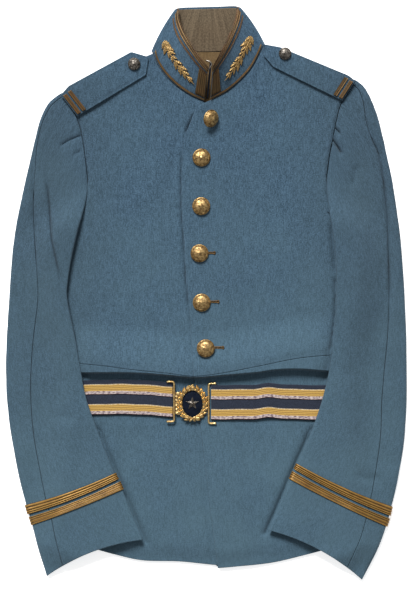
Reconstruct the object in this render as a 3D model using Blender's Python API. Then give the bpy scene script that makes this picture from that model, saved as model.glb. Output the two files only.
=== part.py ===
"""Military dress tunic with its belt, laid flat on its back.

Metres, +Z up. The collar points along +Y and +X is the wearer's left. Tables are in
millimetres, and a mesh is turned into metres when it is made. Every cloth piece is a closed
wall of its own, and neighbours are a seam gap apart.
"""

import math
from collections import namedtuple

import bmesh
import bpy
import numpy as np

MM = 0.001

# Walls and gaps
BODY_WALL = 2.0
SLEEVE_WALL = 1.8
COLLAR_WALL = 1.6
LINING_WALL = 1.2
STRAP_WALL = 2.2
SEAM_GAP = 0.4
BRAID_WALL = 1.1
BRAID_GAP = 0.5

# Heights of the layers above the table
FRONT_FLOOR = 6.0
LAP_RAISE = 2.4
EDGE_PRESS = 3.6
WAIST_BULGE = 8.0
WAIST_BULGE_REACH = 34.0
CREST_DROP = 8.5
SKIRT_LIFT = 1.5
BELT_ZONE_FLOOR = 3.7
COLLAR_BACK_FLOOR = 1.6
# Share of the edge press on the shoulder seam and on the row below it
SHOULDER_PRESS = (1.0, 0.35)
# Places across a front measured from its front edge; the rest is shared out evenly
NEAR_COLUMNS = (0, 12, 25, 50, 75)
SIDE_MARGIN = 12.0

# Belt
BELT_WIDTH = 50.0
BELT_WALL = 2.2
STRIPE_WIDTH = 14.0
STRIPE_PITCH = 27.0
STRIPE_WALL = 0.8
STRIPE_DROP = 1.3
BELT_UNDER_LEVEL = 1.1
BELT_MARGIN = 5.0
BELT_RIGHT_TURN = -191.2
BELT_LEFT_TURN = 192.2
BUCKLE_GAP_RIGHT = -45.8
BUCKLE_GAP_LEFT = 6.6
BELT_LEVEL = FRONT_FLOOR + BODY_WALL + SEAM_GAP

# Sleeves
SLEEVE_LIFT = 12.2
SLEEVE_EDGE_RADIUS = 4.0
CREASE_DEPTH = 2.0
CREASE_WIDTH = 7.0

# Collar
COLLAR_BRAID_GAP = 0.5
BACK_FOLD_REACH = 6.0
END_BRAID_ROWS = 0.95
END_BRAID_SHARES = (0.10, 0.3, 0.5, 0.7, 0.765)
NECK_LINING_X = (-56, 62)
NECK_LINING_ROWS = (258, 282, 305, 327.8)

# Buttons and buckle
BUTTON_DIAMETER = 24.5
BUTTON_HEIGHT = 8.5
STRAP_BUTTON_DIAMETER = 18.0
STRAP_BUTTON_HEIGHT = 6.5
WREATH_OUTER = (23.0, 25.0)
WREATH_INNER = (12.0, 19.5)
WREATH_CENTRE = (-18.8, -149.0)
WREATH_SEGMENTS = 32
PLATE_THICKNESS = 1.2
FLANGE = (-23.0, -16.4, 15.0)
BAR_DIAMETER = 3.0
BAR_TIP = 9.0
STAR_REACH = (8.6, 3.6)
STAR_HEIGHTS = (0.7, 2.4)

SIDES = {"right": -1, "left": 1}
ARM_ROWS = 11

Spot = namedtuple("Spot", "x y")
Rim = namedtuple("Rim", "x y z")
Row = namedtuple("Row", "front_y side_y shut")
Station = namedtuple("Station", "outer_x outer_y inner_x inner_y bow sag floor height hind")
Crease = namedtuple("Crease", "side from_x from_y to_x to_y depth")
Strip = namedtuple("Strip", "name low high wall tint")
Button = namedtuple("Button", "name x y tilt")
Fold = namedtuple("Fold", "away share")
Bar = namedtuple("Bar", "side x low high")

# Armhole seam from the shoulder to the armpit
ARMHOLE = {
    "right": (Spot(-196, 272), Spot(-184, 253), Spot(-174, 233), Spot(-168, 209),
              Spot(-164, 181), Spot(-161, 154)),
    "left": (Spot(204, 289), Spot(184, 258), Spot(176.5, 233), Spot(172, 210),
             Spot(168, 190), Spot(163.5, 158)),
}
# Neck seam from the shoulder to the centre front
NECKLINE = {
    "right": (Spot(-71.5, 326), Spot(-66, 311), Spot(-55, 295), Spot(-38, 279),
              Spot(-19, 267), Spot(-2, 260)),
    "left": (Spot(77, 335), Spot(70, 320), Spot(60, 303), Spot(46, 288),
             Spot(27, 273), Spot(4.5, 262)),
}
# Top edge of each collar half from the side fold to the centre front
COLLAR_TOP = {
    "right": (Rim(-38.5, 386, 12), Rim(-36.5, 371, 16), Rim(-30.5, 355, 22),
              Rim(-21.5, 339, 29), Rim(-9.5, 320, 35), Rim(2.4, 304.5, 38)),
    "left": (Rim(43, 388, 12), Rim(40, 373, 16), Rim(34.5, 358, 22),
             Rim(27.5, 341, 29), Rim(18.5, 322, 35), Rim(9.3, 304.5, 38)),
}
# Side seam from the armpit to the hem, hidden under the sleeves
SIDE_EDGE = {
    "right": (Spot(-161, 154), Spot(-161, 112), Spot(-175, 97), Spot(-203, 85), Spot(-216, 62),
              Spot(-214, 24), Spot(-206, -30), Spot(-192, -82), Spot(-190, -94),
              Spot(-190, -146), Spot(-191, -176), Spot(-199, -241), Spot(-209, -340)),
    "left": (Spot(163.5, 158), Spot(163.5, 116), Spot(177, 101), Spot(205, 89), Spot(218, 66),
             Spot(216, 26), Spot(208, -26), Spot(194, -74), Spot(192, -83),
             Spot(192, -150), Spot(192.5, -180), Spot(201, -245), Spot(210, -340)),
}
# Front edges: the left laps over, the right runs on underneath
FRONT_EDGE = {
    "right": (Spot(13, 252), Spot(15, 235), Spot(15, -113), Spot(22, -176), Spot(31, -240),
              Spot(50, -376)),
    "left": (Spot(-5, 257), Spot(-14, 250), Spot(-22, 231), Spot(-30, 208), Spot(-33, 185),
             Spot(-33, 113), Spot(-30, 72), Spot(-28, 31), Spot(-23, -23), Spot(-17, -113),
             Spot(-8.5, -176), Spot(-1, -240), Spot(9, -322), Spot(16, -376)),
}
# Waist seam, crest of the cloth above the belt, belt centre and hem, across the body
WAIST = (Spot(-192, -94), Spot(-139, -99), Spot(-102, -104), Spot(-53, -109), Spot(-17, -113),
         Spot(20, -109), Spot(68, -100), Spot(129, -88), Spot(192, -83))
CREST = (Spot(-192, -108), Spot(-102, -108), Spot(-17, -115), Spot(20, -112), Spot(68, -108),
         Spot(92, -104), Spot(129, -103), Spot(192, -108))
BELT = (Spot(-192, -145), Spot(-131, -142.5), Spot(-90, -143.5), Spot(-46, -146.5),
        Spot(6, -150), Spot(60, -149.5), Spot(88, -148), Spot(128, -150), Spot(192, -150.5))
HEM = {
    "right": (Spot(-209, -331), Spot(-165, -344), Spot(-124, -355.5), Spot(-86, -363.5),
              Spot(-36, -365), Spot(15, -370), Spot(50, -371)),
    "left": (Spot(16, -374), Spot(39, -372), Spot(87, -367), Spot(127, -358), Spot(170, -346),
             Spot(210, -329)),
}
# Seam between the collar and the back
BACK_NECK = (Spot(-72.5, 325.4), Spot(-65, 327.5), Spot(-30, 329), Spot(2, 328.8), Spot(36, 331),
             Spot(71, 335.5), Spot(78, 334))
# How far out the sleeves are carried by the body, at each height
CARRIED = (Spot(161, 156), Spot(182, 130), Spot(196, 112), Spot(206, 97), Spot(213, 82),
           Spot(219, 60), Spot(217, 24), Spot(209, -30), Spot(196, -80), Spot(194, -180),
           Spot(202, -245), Spot(212, -340))
# Rows of the fronts below the armhole: height at the front edge and at the side seam, and how
# far the side is pressed down onto the back
BODICE_ROWS = {
    "right": (Row(252, 140, 0), Row(236, 112, 0), Row(205, 97, 1), Row(165, 85, 1),
              Row(120, 62, 1), Row(70, 24, 1), Row(10, -24, 1), Row(-45, -58, 0.8),
              Row(-76, -68, 0.4)),
    "left": (Row(257, 146, 0), Row(250, 116, 0), Row(231, 101, 1), Row(190, 89, 1),
             Row(130, 66, 1), Row(72, 26, 1), Row(10, -20, 1), Row(-45, -52, 0.8),
             Row(-76, -60, 0.4)),
}
# Rows of the skirts below the belt, as shares of the way to the hem, and the side press there
SKIRT_ROWS = ((0.14, 0), (0.32, 0.6), (0.5, 1), (0.68, 1), (0.85, 1), (1.0, 1))
# Rows of the back below the armhole: height at the right side, at the left side, and the floor
BACK_ROWS = ((140, 146, 0), (112, 116, 0), (97, 101, 0), (85, 89, 0), (62, 66, 0), (24, 26, 0),
             (-40, -40, 0), (-86, -86, 0), (-113, -113, BELT_ZONE_FLOOR),
             (-186, -186, BELT_ZONE_FLOOR), (-213, -213, 0), (-270, -270, 0), (-331, -329, 0))
# Sleeves from the armhole to the cuff hem: the outer and inner edge, how far the section follows
# the armhole's curve, its sag towards the cuff, its height above the table, its thickness, and
# the hind seam's distance from the outer edge
SLEEVES = {
    "right": (
        Station(-196.4, 272.4, -161.5, 153, 1.0, 0, 0, 8.0, 6),
        Station(-206, 266, -161.5, 146, 0.9, 0, 0, 8.2, 6),
        Station(-216, 256, -161.6, 131, 0.7, 0, 0, 8.2, 6),
        Station(-226, 235, -164, 108, 0.4, 0, 0, 8.0, 6),
        Station(-233, 208, -169, 87, 0.2, 0, 0, 7.6, 7),
        Station(-240, 178, -174, 66, 0, 0, 0, 7.4, 15),
        Station(-246.5, 150, -178.5, 48, 0, 0, 0, 7.2, 22.5),
        Station(-252.5, 122, -182.5, 32, 0, 0, 0, 7.2, 31),
        Station(-258.5, 92, -186, 17, 0, 0, 0, 7.2, 38),
        Station(-264, 50, -189, 0, 0, 0, 0, 7.2, 41),
        Station(-268, -8, -186, -22, 0, 0, 0, 7.2, 39.5),
        Station(-271, -55, -178.5, -57, 0, 0, 0, 7.2, 37),
        Station(-272.5, -100, -171.5, -98, 0, 0, 0, 7.2, 35),
        Station(-271, -145, -163, -142, 0, 0, 0, 7.2, 33),
        Station(-265.5, -192, -149, -182, 0, 1, 0, 7.2, 31),
        Station(-256, -243, -135, -218, 0, 3, 1.6, 7.0, 30),
        Station(-244, -292, -123, -247, 0, 5, 1.6, 6.8, 28),
        Station(-237.5, -311, -115, -263, 0, 6, 1.6, 6.8, 28),
        Station(-229, -345, -102, -296, 0, 8, 1.6, 6.6, 27),
        Station(-217, -385, -86, -335, 0, 9, 1.6, 6.2, 26),
    ),
    "left": (
        Station(204.4, 289.4, 164, 157, 1.0, 0, 0, 8.0, 6),
        Station(214, 281, 164, 150, 0.9, 0, 0, 8.2, 7),
        Station(223, 266, 164.2, 135, 0.7, 0, 0, 8.2, 12),
        Station(232, 243, 166, 112, 0.4, 0, 0, 8.0, 20),
        Station(239.5, 215, 168, 92, 0.2, 0, 0, 7.6, 17),
        Station(246, 185, 170.5, 74, 0, 0, 0, 7.4, 12),
        Station(252.5, 155, 172.5, 56, 0, 0, 0, 7.2, 17),
        Station(258, 120, 174.5, 36, 0, 0, 0, 7.2, 19.5),
        Station(263, 84, 175.8, 16, 0, 0, 0, 7.2, 21),
        Station(267, 40, 176.3, -6, 0, 0, 0, 7.2, 21),
        Station(270, -10, 175.5, -30, 0, 0, 0, 7.2, 22.6),
        Station(272, -60, 172, -62, 0, 0, 0, 7.2, 26),
        Station(272.5, -105, 167.5, -100, 0, 0, 0, 7.2, 30.6),
        Station(272.3, -150, 158, -142, 0, 0, 0, 7.2, 34),
        Station(269.5, -197, 145, -181, 0, 1, 0, 7.2, 33),
        Station(262, -246, 133, -210, 0, 3, 1.6, 7.0, 32),
        Station(251, -294, 122.5, -234, 0, 5, 1.6, 6.8, 30),
        Station(246, -313, 115, -249, 0, 6, 1.6, 6.8, 30),
        Station(233, -348, 101, -283, 0, 8, 1.6, 6.6, 28),
        Station(212, -390, 84, -322, 0, 9, 1.6, 6.2, 26),
    ),
}
# Rows of the sleeve table that each cuff braid runs between
BRAID_ROWS = {"upper": (15.88, 16, 16.28), "lower": (16.72, 17, 17.15)}
CREASES = (
    Crease("right", -219, 167, -213, 118, 0.6),
    Crease("right", -213, 118, -207, 56, 0.7),
    Crease("right", -207, 56, -190, 0, 1.0),
    Crease("right", -184, 214, -200, 205, 0.5),
    Crease("left", 172, 205, 184, 188, 0.6),
    Crease("left", 244, 110, 249, 22, 0.6),
    Crease("left", 249, 22, 243, -95, 0.6),
)
# Shoulder strap outlines, starting at the outer end, and the strap buttons
STRAPS = {
    "right": (Spot(-175, 240), Spot(-82, 296), Spot(-78, 321), Spot(-102, 327.5),
              Spot(-187, 281), Spot(-197.5, 269)),
    "left": (Spot(185, 261), Spot(91, 307), Spot(84, 322), Spot(84, 336), Spot(100, 334),
             Spot(193, 295.5), Spot(202.5, 288)),
}
STRAP_ENDS = {"right": (Spot(-175, 240), Spot(-197.5, 269)),
              "left": (Spot(185, 261), Spot(202.5, 288))}
STRAP_BUTTONS = {"right": Spot(-98, 311), "left": Spot(107, 325)}
STRAP_FLOOR = {"inner": 8.4, "outer": 9.4}
FRONT_BUTTONS = (Button("front_button_1", 5.6, 237, 38), Button("front_button_2", -6.6, 184, 4),
                 Button("front_button_3", -6.9, 118, 0), Button("front_button_4", -9.2, 54, 3),
                 Button("front_button_5", -6.2, -13, 0), Button("front_button_6", -0.9, -75, 5))
# Bands round the collar: distance of each edge below the top edge as a share of the height
COLLAR_BANDS = (
    Strip("collar_edge_braid", 0.885, 0.998, BRAID_WALL, "braid"),
    Strip("collar_soutache", 0.78, 0.835, 0.8, "braid_dark"),
    Strip("collar_neck_braid", 0.03, 0.085, 0.9, "braid"),
)
# The side fold of the flattened collar: how far out, and the share of its height fallen
COLLAR_FOLD = (Fold(3.0, 0.12), Fold(4.0, 0.45), Fold(3.0, 0.85))
# Leaf sprays: place along the collar half and height share of the stem's two ends
SPRAY_START = (0.24, 0.52)
SPRAY_END = (0.88, 0.42)
SPRAY_LEAVES = 8
SPRAY_HALF_SHARE = 0.133
SPRAY_GAP = 0.3
SPRAY_EDGE = 0.5
SPRAY_RISE = 1.7
BUCKLE_BARS = (Bar("right", -43.7, -173.6, -119.4), Bar("left", 4.6, -177.1, -122.9))

Paint = namedtuple("Paint", "red green blue roughness metallic")
PAINTS = {
    "wool": Paint(80, 106, 122, 0.9, 0.0),
    "lining": Paint(122, 100, 74, 0.8, 0.0),
    "neck_lining": Paint(132, 98, 84, 0.8, 0.0),
    "braid": Paint(134, 98, 50, 0.55, 0.3),
    "braid_dark": Paint(98, 76, 48, 0.6, 0.2),
    "bullion": Paint(176, 136, 70, 0.45, 0.6),
    "belt": Paint(42, 46, 62, 0.85, 0.0),
    "brocade": Paint(194, 166, 100, 0.6, 0.1),
    "gilt": Paint(200, 160, 90, 0.3, 1.0),
    "old_gilt": Paint(150, 115, 62, 0.38, 1.0),
    "silver": Paint(150, 145, 140, 0.35, 1.0),
    "enamel": Paint(20, 24, 32, 0.3, 0.0),
}


def linear(value):
    """A display colour from 0 to 255 as a linear one."""
    value = value / 255
    return value / 12.92 if value <= 0.04045 else ((value + 0.055) / 1.055) ** 2.4


def material(name, paint):
    """A Principled material of its own for one object."""
    mat = bpy.data.materials.new(name)
    mat.use_nodes = True
    shader = mat.node_tree.nodes["Principled BSDF"]
    tint = PAINTS[paint]
    colour = tuple(linear(part) for part in tint[:3]) + (1.0,)
    shader.inputs["Base Color"].default_value = colour
    shader.inputs["Roughness"].default_value = tint.roughness
    shader.inputs["Metallic"].default_value = tint.metallic
    mat.diffuse_color = colour
    return mat


def add_object(name, points, faces, paint, smooth_angle=40):
    """One closed body with its faces out, from points in millimetres."""
    mesh = bpy.data.meshes.new(name)
    mesh.from_pydata([tuple(float(part) * MM for part in point) for point in points], [], faces)
    build = bmesh.new()
    build.from_mesh(mesh)
    bmesh.ops.recalc_face_normals(build, faces=build.faces)
    build.to_mesh(mesh)
    build.free()
    mesh.shade_smooth()
    mesh.set_sharp_from_angle(angle=math.radians(smooth_angle))
    mesh.materials.append(material(name, paint))
    obj = bpy.data.objects.new(name, mesh)
    bpy.context.scene.collection.objects.link(obj)
    return obj


def wall(name, outside, inside, paint, ring=False):
    """A closed wall between two grids of points, ring joining the last column to the first."""
    outside = np.asarray(outside, float)
    inside = np.asarray(inside, float)
    rows, columns = outside.shape[:2]
    points = np.concatenate([outside.reshape(-1, 3), inside.reshape(-1, 3)])
    shift = rows * columns
    spans = columns if ring else columns - 1
    faces = []

    def at(row, column):
        return row * columns + column % columns

    for row in range(rows - 1):
        for column in range(spans):
            a, b = at(row, column), at(row, column + 1)
            c, d = at(row + 1, column + 1), at(row + 1, column)
            for triangle in ((a, b, c), (a, c, d)):
                faces.append(triangle)
                faces.append(tuple(corner + shift for corner in triangle[::-1]))
    for row in (0, rows - 1):
        for column in range(spans):
            a, b = at(row, column), at(row, column + 1)
            quad = (b, a, a + shift, b + shift)
            faces.append(quad if row == 0 else quad[::-1])
    if not ring:
        for column in (0, columns - 1):
            for row in range(rows - 1):
                a, b = at(row, column), at(row + 1, column)
                quad = (a, b, b + shift, a + shift)
                faces.append(quad if column == 0 else quad[::-1])
    return add_object(name, points, faces, paint)


def curve_through(points, count):
    """Evenly numbered points of a smooth curve through the given ones."""
    knots = np.asarray(points, float)
    padded = np.vstack([2 * knots[0] - knots[1], knots, 2 * knots[-1] - knots[-2]])
    result = []
    for place in np.linspace(0, len(knots) - 1, count):
        first = min(int(place), len(knots) - 2)
        t = place - first
        a, b, c, d = padded[first:first + 4]
        result.append(0.5 * (2 * b + (c - a) * t + (2 * a - 5 * b + 4 * c - d) * t ** 2
                             + (3 * b - a - 3 * c + d) * t ** 3))
    return np.array(result)


def shifted(line, distance):
    """A flat line moved sideways, to the left of its direction when distance is positive."""
    line = np.asarray(line, float)
    along = np.gradient(line, axis=0)
    along /= np.linalg.norm(along, axis=1)[:, None]
    return line + distance * np.stack([-along[:, 1], along[:, 0]], axis=1)


def across(table, x):
    """Height of a line across the body at x."""
    return np.interp(x, [spot.x for spot in table], [spot.y for spot in table])


def edge_x(table, y):
    """Place of an edge that runs down the body at height y."""
    rows = sorted(table, key=lambda spot: spot.y)
    return np.interp(y, [spot.y for spot in rows], [spot.x for spot in rows])


def fade(value, start, end):
    """1 at start and before, 0 at end and past it, straight between."""
    return float(np.clip((end - value) / (end - start), 0, 1))


def soft_fade(value, start, end):
    """As fade, with smooth ends."""
    t = fade(value, start, end)
    return t * t * (3 - 2 * t)


def hem_y(x):
    """Height of the hem at x."""
    return across(HEM["left"] if x > 16 else HEM["right"], x)


def bulge(side, x, y):
    """Rise of the fronts where the belt draws in the cloth below them."""
    seam, crest = across(WAIST, x), across(CREST, x)
    rise = WAIST_BULGE * soft_fade(y, seam + 6, seam + WAIST_BULGE_REACH)
    rise *= fade(-y, -crest, CREST_DROP - crest)
    rise *= float(np.interp(abs(x), (140, 165, 195), (1, 0.45, 0)))
    if side == "right":
        lap = edge_x(FRONT_EDGE["left"], y)
        rise *= fade(x, lap, lap + 15)
    return rise


def front_floor(side, x, y):
    """Underside of a front panel at a place, before its edges are pressed down."""
    raise_over = 0.0
    if side == "left":
        under = edge_x(FRONT_EDGE["right"], y)
        raise_over = LAP_RAISE * fade(x, under + 8, under + 46)
    return FRONT_FLOOR + raise_over + bulge(side, x, y)


def columns_of(front, side):
    """Points across a front, closer together at its front edge."""
    front, side = np.asarray(front, float), np.asarray(side, float)
    width = np.linalg.norm(side - front)
    room = width - NEAR_COLUMNS[-1] - SIDE_MARGIN
    rest = [NEAR_COLUMNS[-1] + room * share for share in (0.25, 0.5, 0.75, 1.0)]
    places = [*NEAR_COLUMNS, *rest, width]
    return [front + (side - front) * place / width for place in places]


def build_back():
    """The whole back panel, flat on the table but for its rise over the belt's back run."""
    arm = {side: shifted(curve_through(ARMHOLE[side], ARM_ROWS), -SIDES[side] * SEAM_GAP)
           for side in SIDES}
    ends = (Spot(*arm["right"][0]), Spot(*arm["left"][0]))
    top_line = (ends[0], *BACK_NECK, ends[1])
    span = ends[1].x - ends[0].x
    neck_shares = [(spot.x - ends[0].x) / span for spot in BACK_NECK]
    shares = [0, 0.15, *neck_shares, 0.85, 1]
    rows = []
    for index in range(ARM_ROWS):
        right, left = arm["right"][index], arm["left"][index]
        roof = (1 - index / (ARM_ROWS - 1)) ** 1.5
        line = []
        for share in shares:
            base = right + (left - right) * share
            x = ends[0].x + span * share
            rise = across(top_line, x) - SEAM_GAP - across(ends, x)
            line.append((base[0], base[1] + rise * roof * (0 < share < 1), 0.0))
        rows.append(line)
    for right_y, left_y, floor in BACK_ROWS:
        right_x = edge_x(SIDE_EDGE["right"], right_y)
        left_x = edge_x(SIDE_EDGE["left"], left_y)
        line = []
        for share in shares:
            x = right_x + (left_x - right_x) * share
            y = right_y + (left_y - right_y) * share
            if (right_y, left_y) == BACK_ROWS[-1][:2]:
                y = hem_y(x) + 1.5
            line.append((x, y, floor))
        rows.append(line)
    low = np.array(rows)
    wall("back", low + (0, 0, BODY_WALL), low, "wool")


def build_front(side):
    """A front from the shoulder and neck seam to the waist seam."""
    sign = SIDES[side]
    neck = shifted(curve_through(NECKLINE[side], ARM_ROWS), sign * SEAM_GAP)
    arm = shifted(curve_through(ARMHOLE[side], ARM_ROWS), -sign * SEAM_GAP)
    rows = []
    for index in range(ARM_ROWS):
        press = SHOULDER_PRESS[index] if index < len(SHOULDER_PRESS) else 0.0
        line = []
        for number, (x, y) in enumerate(columns_of(neck[index], arm[index])):
            drop = EDGE_PRESS * press * (number > 2)
            line.append((x, y, front_floor(side, x, y) - drop))
        rows.append(line)
    for row in BODICE_ROWS[side]:
        front = (edge_x(FRONT_EDGE[side], row.front_y), row.front_y)
        seam = (edge_x(SIDE_EDGE[side], row.side_y), row.side_y)
        line = [(x, y, front_floor(side, x, y)) for x, y in columns_of(front, seam)]
        line[-1] = (*line[-1][:2], line[-1][2] - EDGE_PRESS * row.shut)
        rows.append(line)
    for above in (16.0, 0.0):
        rows.append([(x, y, front_floor(side, x, y)) for x, y in line_across(side, WAIST, above)])
    low = np.array(rows)
    wall(f"front_{side}", low + (0, 0, BODY_WALL), low, "wool")


def line_across(side, table, above=0.0):
    """Points across a front along a line of the body, a distance above it."""
    ends = []
    for edge in (FRONT_EDGE[side], SIDE_EDGE[side]):
        x = edge_x(edge, across(table, edge[-4].x))
        ends.append((edge_x(edge, across(table, x) + above), 0.0))
    return [(x, across(table, x) + above) for x, _ in columns_of(*ends)]


def build_skirt(side):
    """A front skirt from the waist seam to the hem, drawn in under the belt."""
    below_belt = -BELT_WIDTH / 2 - BELT_MARGIN
    tables = ((WAIST, -SEAM_GAP), (CREST, 0.0), (CREST, -CREST_DROP), (BELT, 0.0),
              (BELT, below_belt))
    rows = [[(x, y, front_floor(side, x, y)) for x, y in line_across(side, table, above)]
            for table, above in tables]
    ends = [rows[-1][0][:2], rows[-1][-1][:2]]
    for share, press in SKIRT_ROWS:
        heights = [y + (across(HEM[side], x) - y) * share for x, y in ends]
        front = (edge_x(FRONT_EDGE[side], heights[0]), 0)
        seam = (edge_x(SIDE_EDGE[side], heights[1]), 0)
        line = []
        for x, _ in columns_of(front, seam):
            top = across(BELT, x) + below_belt
            y = top + (across(HEM[side], x) - top) * share
            line.append([x, y, front_floor(side, x, y) + SKIRT_LIFT * math.sin(math.pi * share)])
        pressed = line if share == 1 else line[-1:]
        for point in pressed:
            point[2] -= EDGE_PRESS * press * (1 if side == "right" else 0.9)
        rows.append(line)
    low = np.array(rows)
    wall(f"skirt_{side}", low + (0, 0, BODY_WALL), low, "wool")


def crease_at(side, x, y):
    """Depth of the sleeve's pressed folds at a place."""
    depth = 0.0
    for fold in CREASES:
        if fold.side != side:
            continue
        start = np.array((fold.from_x, fold.from_y))
        run = np.array((fold.to_x, fold.to_y)) - start
        t = np.clip(np.dot((x, y) - start, run) / np.dot(run, run), 0, 1)
        away = np.linalg.norm((x, y) - start - run * t)
        depth = max(depth, CREASE_DEPTH * fold.depth * math.exp(-(away / CREASE_WIDTH) ** 2))
    return depth


def sleeve_support(side, x, y, floor):
    """Height of a sleeve's underside: the table, or the body that it lies over."""
    armpit = SIDE_EDGE[side][0].y - 2
    reach = edge_x(CARRIED, y)
    over = fade(abs(x), reach + 8, reach + 34)
    over *= fade(y, armpit - 44, armpit)
    over *= fade(-y, 12 - hem_y(x), 50 - hem_y(x))
    return floor + (SLEEVE_LIFT - floor) * over


class Section:
    """One cross-section of a flattened sleeve, along a row of its table."""

    def __init__(self, side, at):
        self.side, self.at = side, at
        self.inner = np.array((at.inner_x, at.inner_y))
        self.outer = np.array((at.outer_x, at.outer_y))
        self.width = np.linalg.norm(self.outer - self.inner)
        self.run = (self.outer - self.inner) / self.width
        self.down = np.array((self.run[1], -self.run[0])) * -SIDES[side]
        seam, bend = self.width - at.hind, self.width - 3
        self.places = [0, 0.8] + [3 + (seam - 3) * step / 9 for step in range(10)]
        self.places += [(seam + bend) / 2, bend, self.width - 0.8, self.width]

    def flat(self, away):
        """Place in plan at a distance from the inner edge."""
        share = away / self.width
        point = self.inner + self.run * away
        if self.at.bow > 0:
            arm = curve_through(ARMHOLE[self.side], ARM_ROWS)[::-1]
            inside = np.clip(share, 0, 1)
            on_curve = np.array([np.interp(inside, np.linspace(0, 1, ARM_ROWS), arm[:, axis])
                                 for axis in (0, 1)])
            point = point + self.at.bow * (on_curve - arm[0] - (arm[-1] - arm[0]) * inside)
        return point + self.down * self.at.sag * 4 * share * (1 - share)

    def point(self, away, upper, inset):
        """A point of the flattened tube: inset is the depth below its outer surface."""
        width = self.width - 2 * inset
        place = away * width / self.width
        x, y = self.flat(inset + place)
        radius = SLEEVE_EDGE_RADIUS - inset
        depth = max(0.0, 1 - min(place, width - place) / radius)
        half = (self.at.height / 2 - inset) * math.sqrt(max(0.0, 1 - depth ** 2))
        middle = sleeve_support(self.side, x, y, self.at.floor) + self.at.height / 2
        if upper:
            return np.array((x, y, middle + half - crease_at(self.side, x, y) * (depth == 0)))
        return np.array((x, y, middle - half))


class Sleeve:
    """All the cross-sections of one sleeve, with points between them too."""

    SEAM = 11
    def __init__(self, side):
        self.sections = [Section(side, at) for at in SLEEVES[side]]
        self.last = len(self.sections[0].places) - 1

    def point(self, row, column, upper, inset, shift=0.0):
        """Surface point at a row, whole or not, and a column of places across."""
        first = min(int(row), len(self.sections) - 2)
        ends = [section.point(section.places[column] + shift, upper, inset)
                for section in self.sections[first:first + 2]]
        return ends[0] + (ends[1] - ends[0]) * (row - first)

    def top(self, row, inset):
        """Points across the top sleeve, from the inner edge to the hind seam."""
        line = [self.point(row, column, True, inset) for column in range(self.SEAM + 1)]
        line[0] = line[0] + (0, 0, SEAM_GAP / 2)
        return line

    def under(self, row, inset):
        """Points round the under sleeve, from the hind seam to the inner edge."""
        line = [self.point(row, self.SEAM, True, inset, SEAM_GAP)]
        line += [self.point(row, column, True, inset)
                 for column in range(self.SEAM + 1, self.last + 1)]
        line += [self.point(row, column, False, inset) for column in range(self.last - 1, -1, -1)]
        line[-1] = line[-1] - (0, 0, SEAM_GAP / 2)
        return line

    def ring(self, row, inset):
        """Points all the way round."""
        line = [self.point(row, column, True, inset) for column in range(self.last + 1)]
        return line + [self.point(row, column, False, inset)
                       for column in range(self.last - 1, 0, -1)]


def build_sleeve(side):
    """Top and under sleeve of one arm, pressed flat."""
    sleeve = Sleeve(side)
    rows = range(len(sleeve.sections))
    for name, line in (("top", sleeve.top), ("under", sleeve.under)):
        outside, inside = ([line(row, inset) for row in rows] for inset in (0.0, SLEEVE_WALL))
        wall(f"sleeve_{name}_{side}", outside, inside, "wool")
    for name, (start, middle, end) in BRAID_ROWS.items():
        outside, inside = ([sleeve.ring(row, -rise) for row in (start, middle, end)]
                           for rise in (BRAID_GAP + BRAID_WALL, BRAID_GAP))
        wall(f"cuff_braid_{name}_{side}", outside, inside, "braid", ring=True)


def collar_stations():
    """Neck and top points round the collar's outer face, from the right end to the left."""
    stations = []
    for side in ("right", "left"):
        neck = curve_through(NECKLINE[side], ARM_ROWS)
        top = curve_through(COLLAR_TOP[side], ARM_ROWS)
        half = []
        for index in range(ARM_ROWS - 1, -1, -1):
            x, y = neck[index]
            rise = front_floor(side, x, y) + BODY_WALL + SEAM_GAP
            bow = 4.0 * (1 - index / (ARM_ROWS - 1)) ** 3
            half.append(((x, y, rise), tuple(top[index]), bow))
        (x, y, z), (tx, ty, tz), _ = half[-1]
        for away, share in COLLAR_FOLD:
            turn = SIDES[side] * away
            height = z - (z - COLLAR_BACK_FLOOR) * share
            lift = tz - (tz - COLLAR_BACK_FLOOR) * share
            half.append(((x + turn * 0.8, y + away * 0.5, height),
                         (tx + turn * 0.7, ty + away * 0.25, lift), 4.0))
        x -= SIDES[side] * BACK_FOLD_REACH
        half.append(((x, across(BACK_NECK, x), COLLAR_BACK_FLOOR),
                     (tx - SIDES[side] * BACK_FOLD_REACH, ty + 2.0, COLLAR_BACK_FLOOR), 1.5))
        stations.append(half)
    right, left = stations
    (ax, _, _), (atx, aty, _), _ = right[-1]
    (bx, _, _), (btx, bty, _), _ = left[-1]
    back = []
    for share in (0.25, 0.5, 0.75):
        x = ax + (bx - ax) * share
        back.append(((x, across(BACK_NECK, x), COLLAR_BACK_FLOOR),
                     (atx + (btx - atx) * share, aty + (bty - aty) * share, COLLAR_BACK_FLOOR), 0))
    return right + back + left[::-1]


class CollarFace:
    """The collar's outer face and the directions out of it."""

    def __init__(self):
        stations = collar_stations()
        self.neck = np.array([station[0] for station in stations], float)
        self.top = np.array([station[1] for station in stations], float)
        self.bow = np.array([station[2] for station in stations], float)
        along = np.gradient((self.neck + self.top) / 2, axis=0)
        normal = np.cross(self.top - self.neck, along)
        self.normal = normal / np.linalg.norm(normal, axis=1)[:, None]
        self.count = len(stations)

    def point(self, place, share, rise):
        """A point at a place along the collar, a share of its height, moved out by rise."""
        first = min(int(place), self.count - 2)
        t = place - first
        neck = self.neck[first] * (1 - t) + self.neck[first + 1] * t
        top = self.top[first] * (1 - t) + self.top[first + 1] * t
        bow = self.bow[first] * (1 - t) + self.bow[first + 1] * t
        normal = self.normal[first] * (1 - t) + self.normal[first + 1] * t
        normal /= np.linalg.norm(normal)
        flat = np.array((normal[0], normal[1], 0))
        point = neck + (top - neck) * share
        return point + flat * bow * 4 * share * (1 - share) * 0.6 + normal * rise


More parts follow.
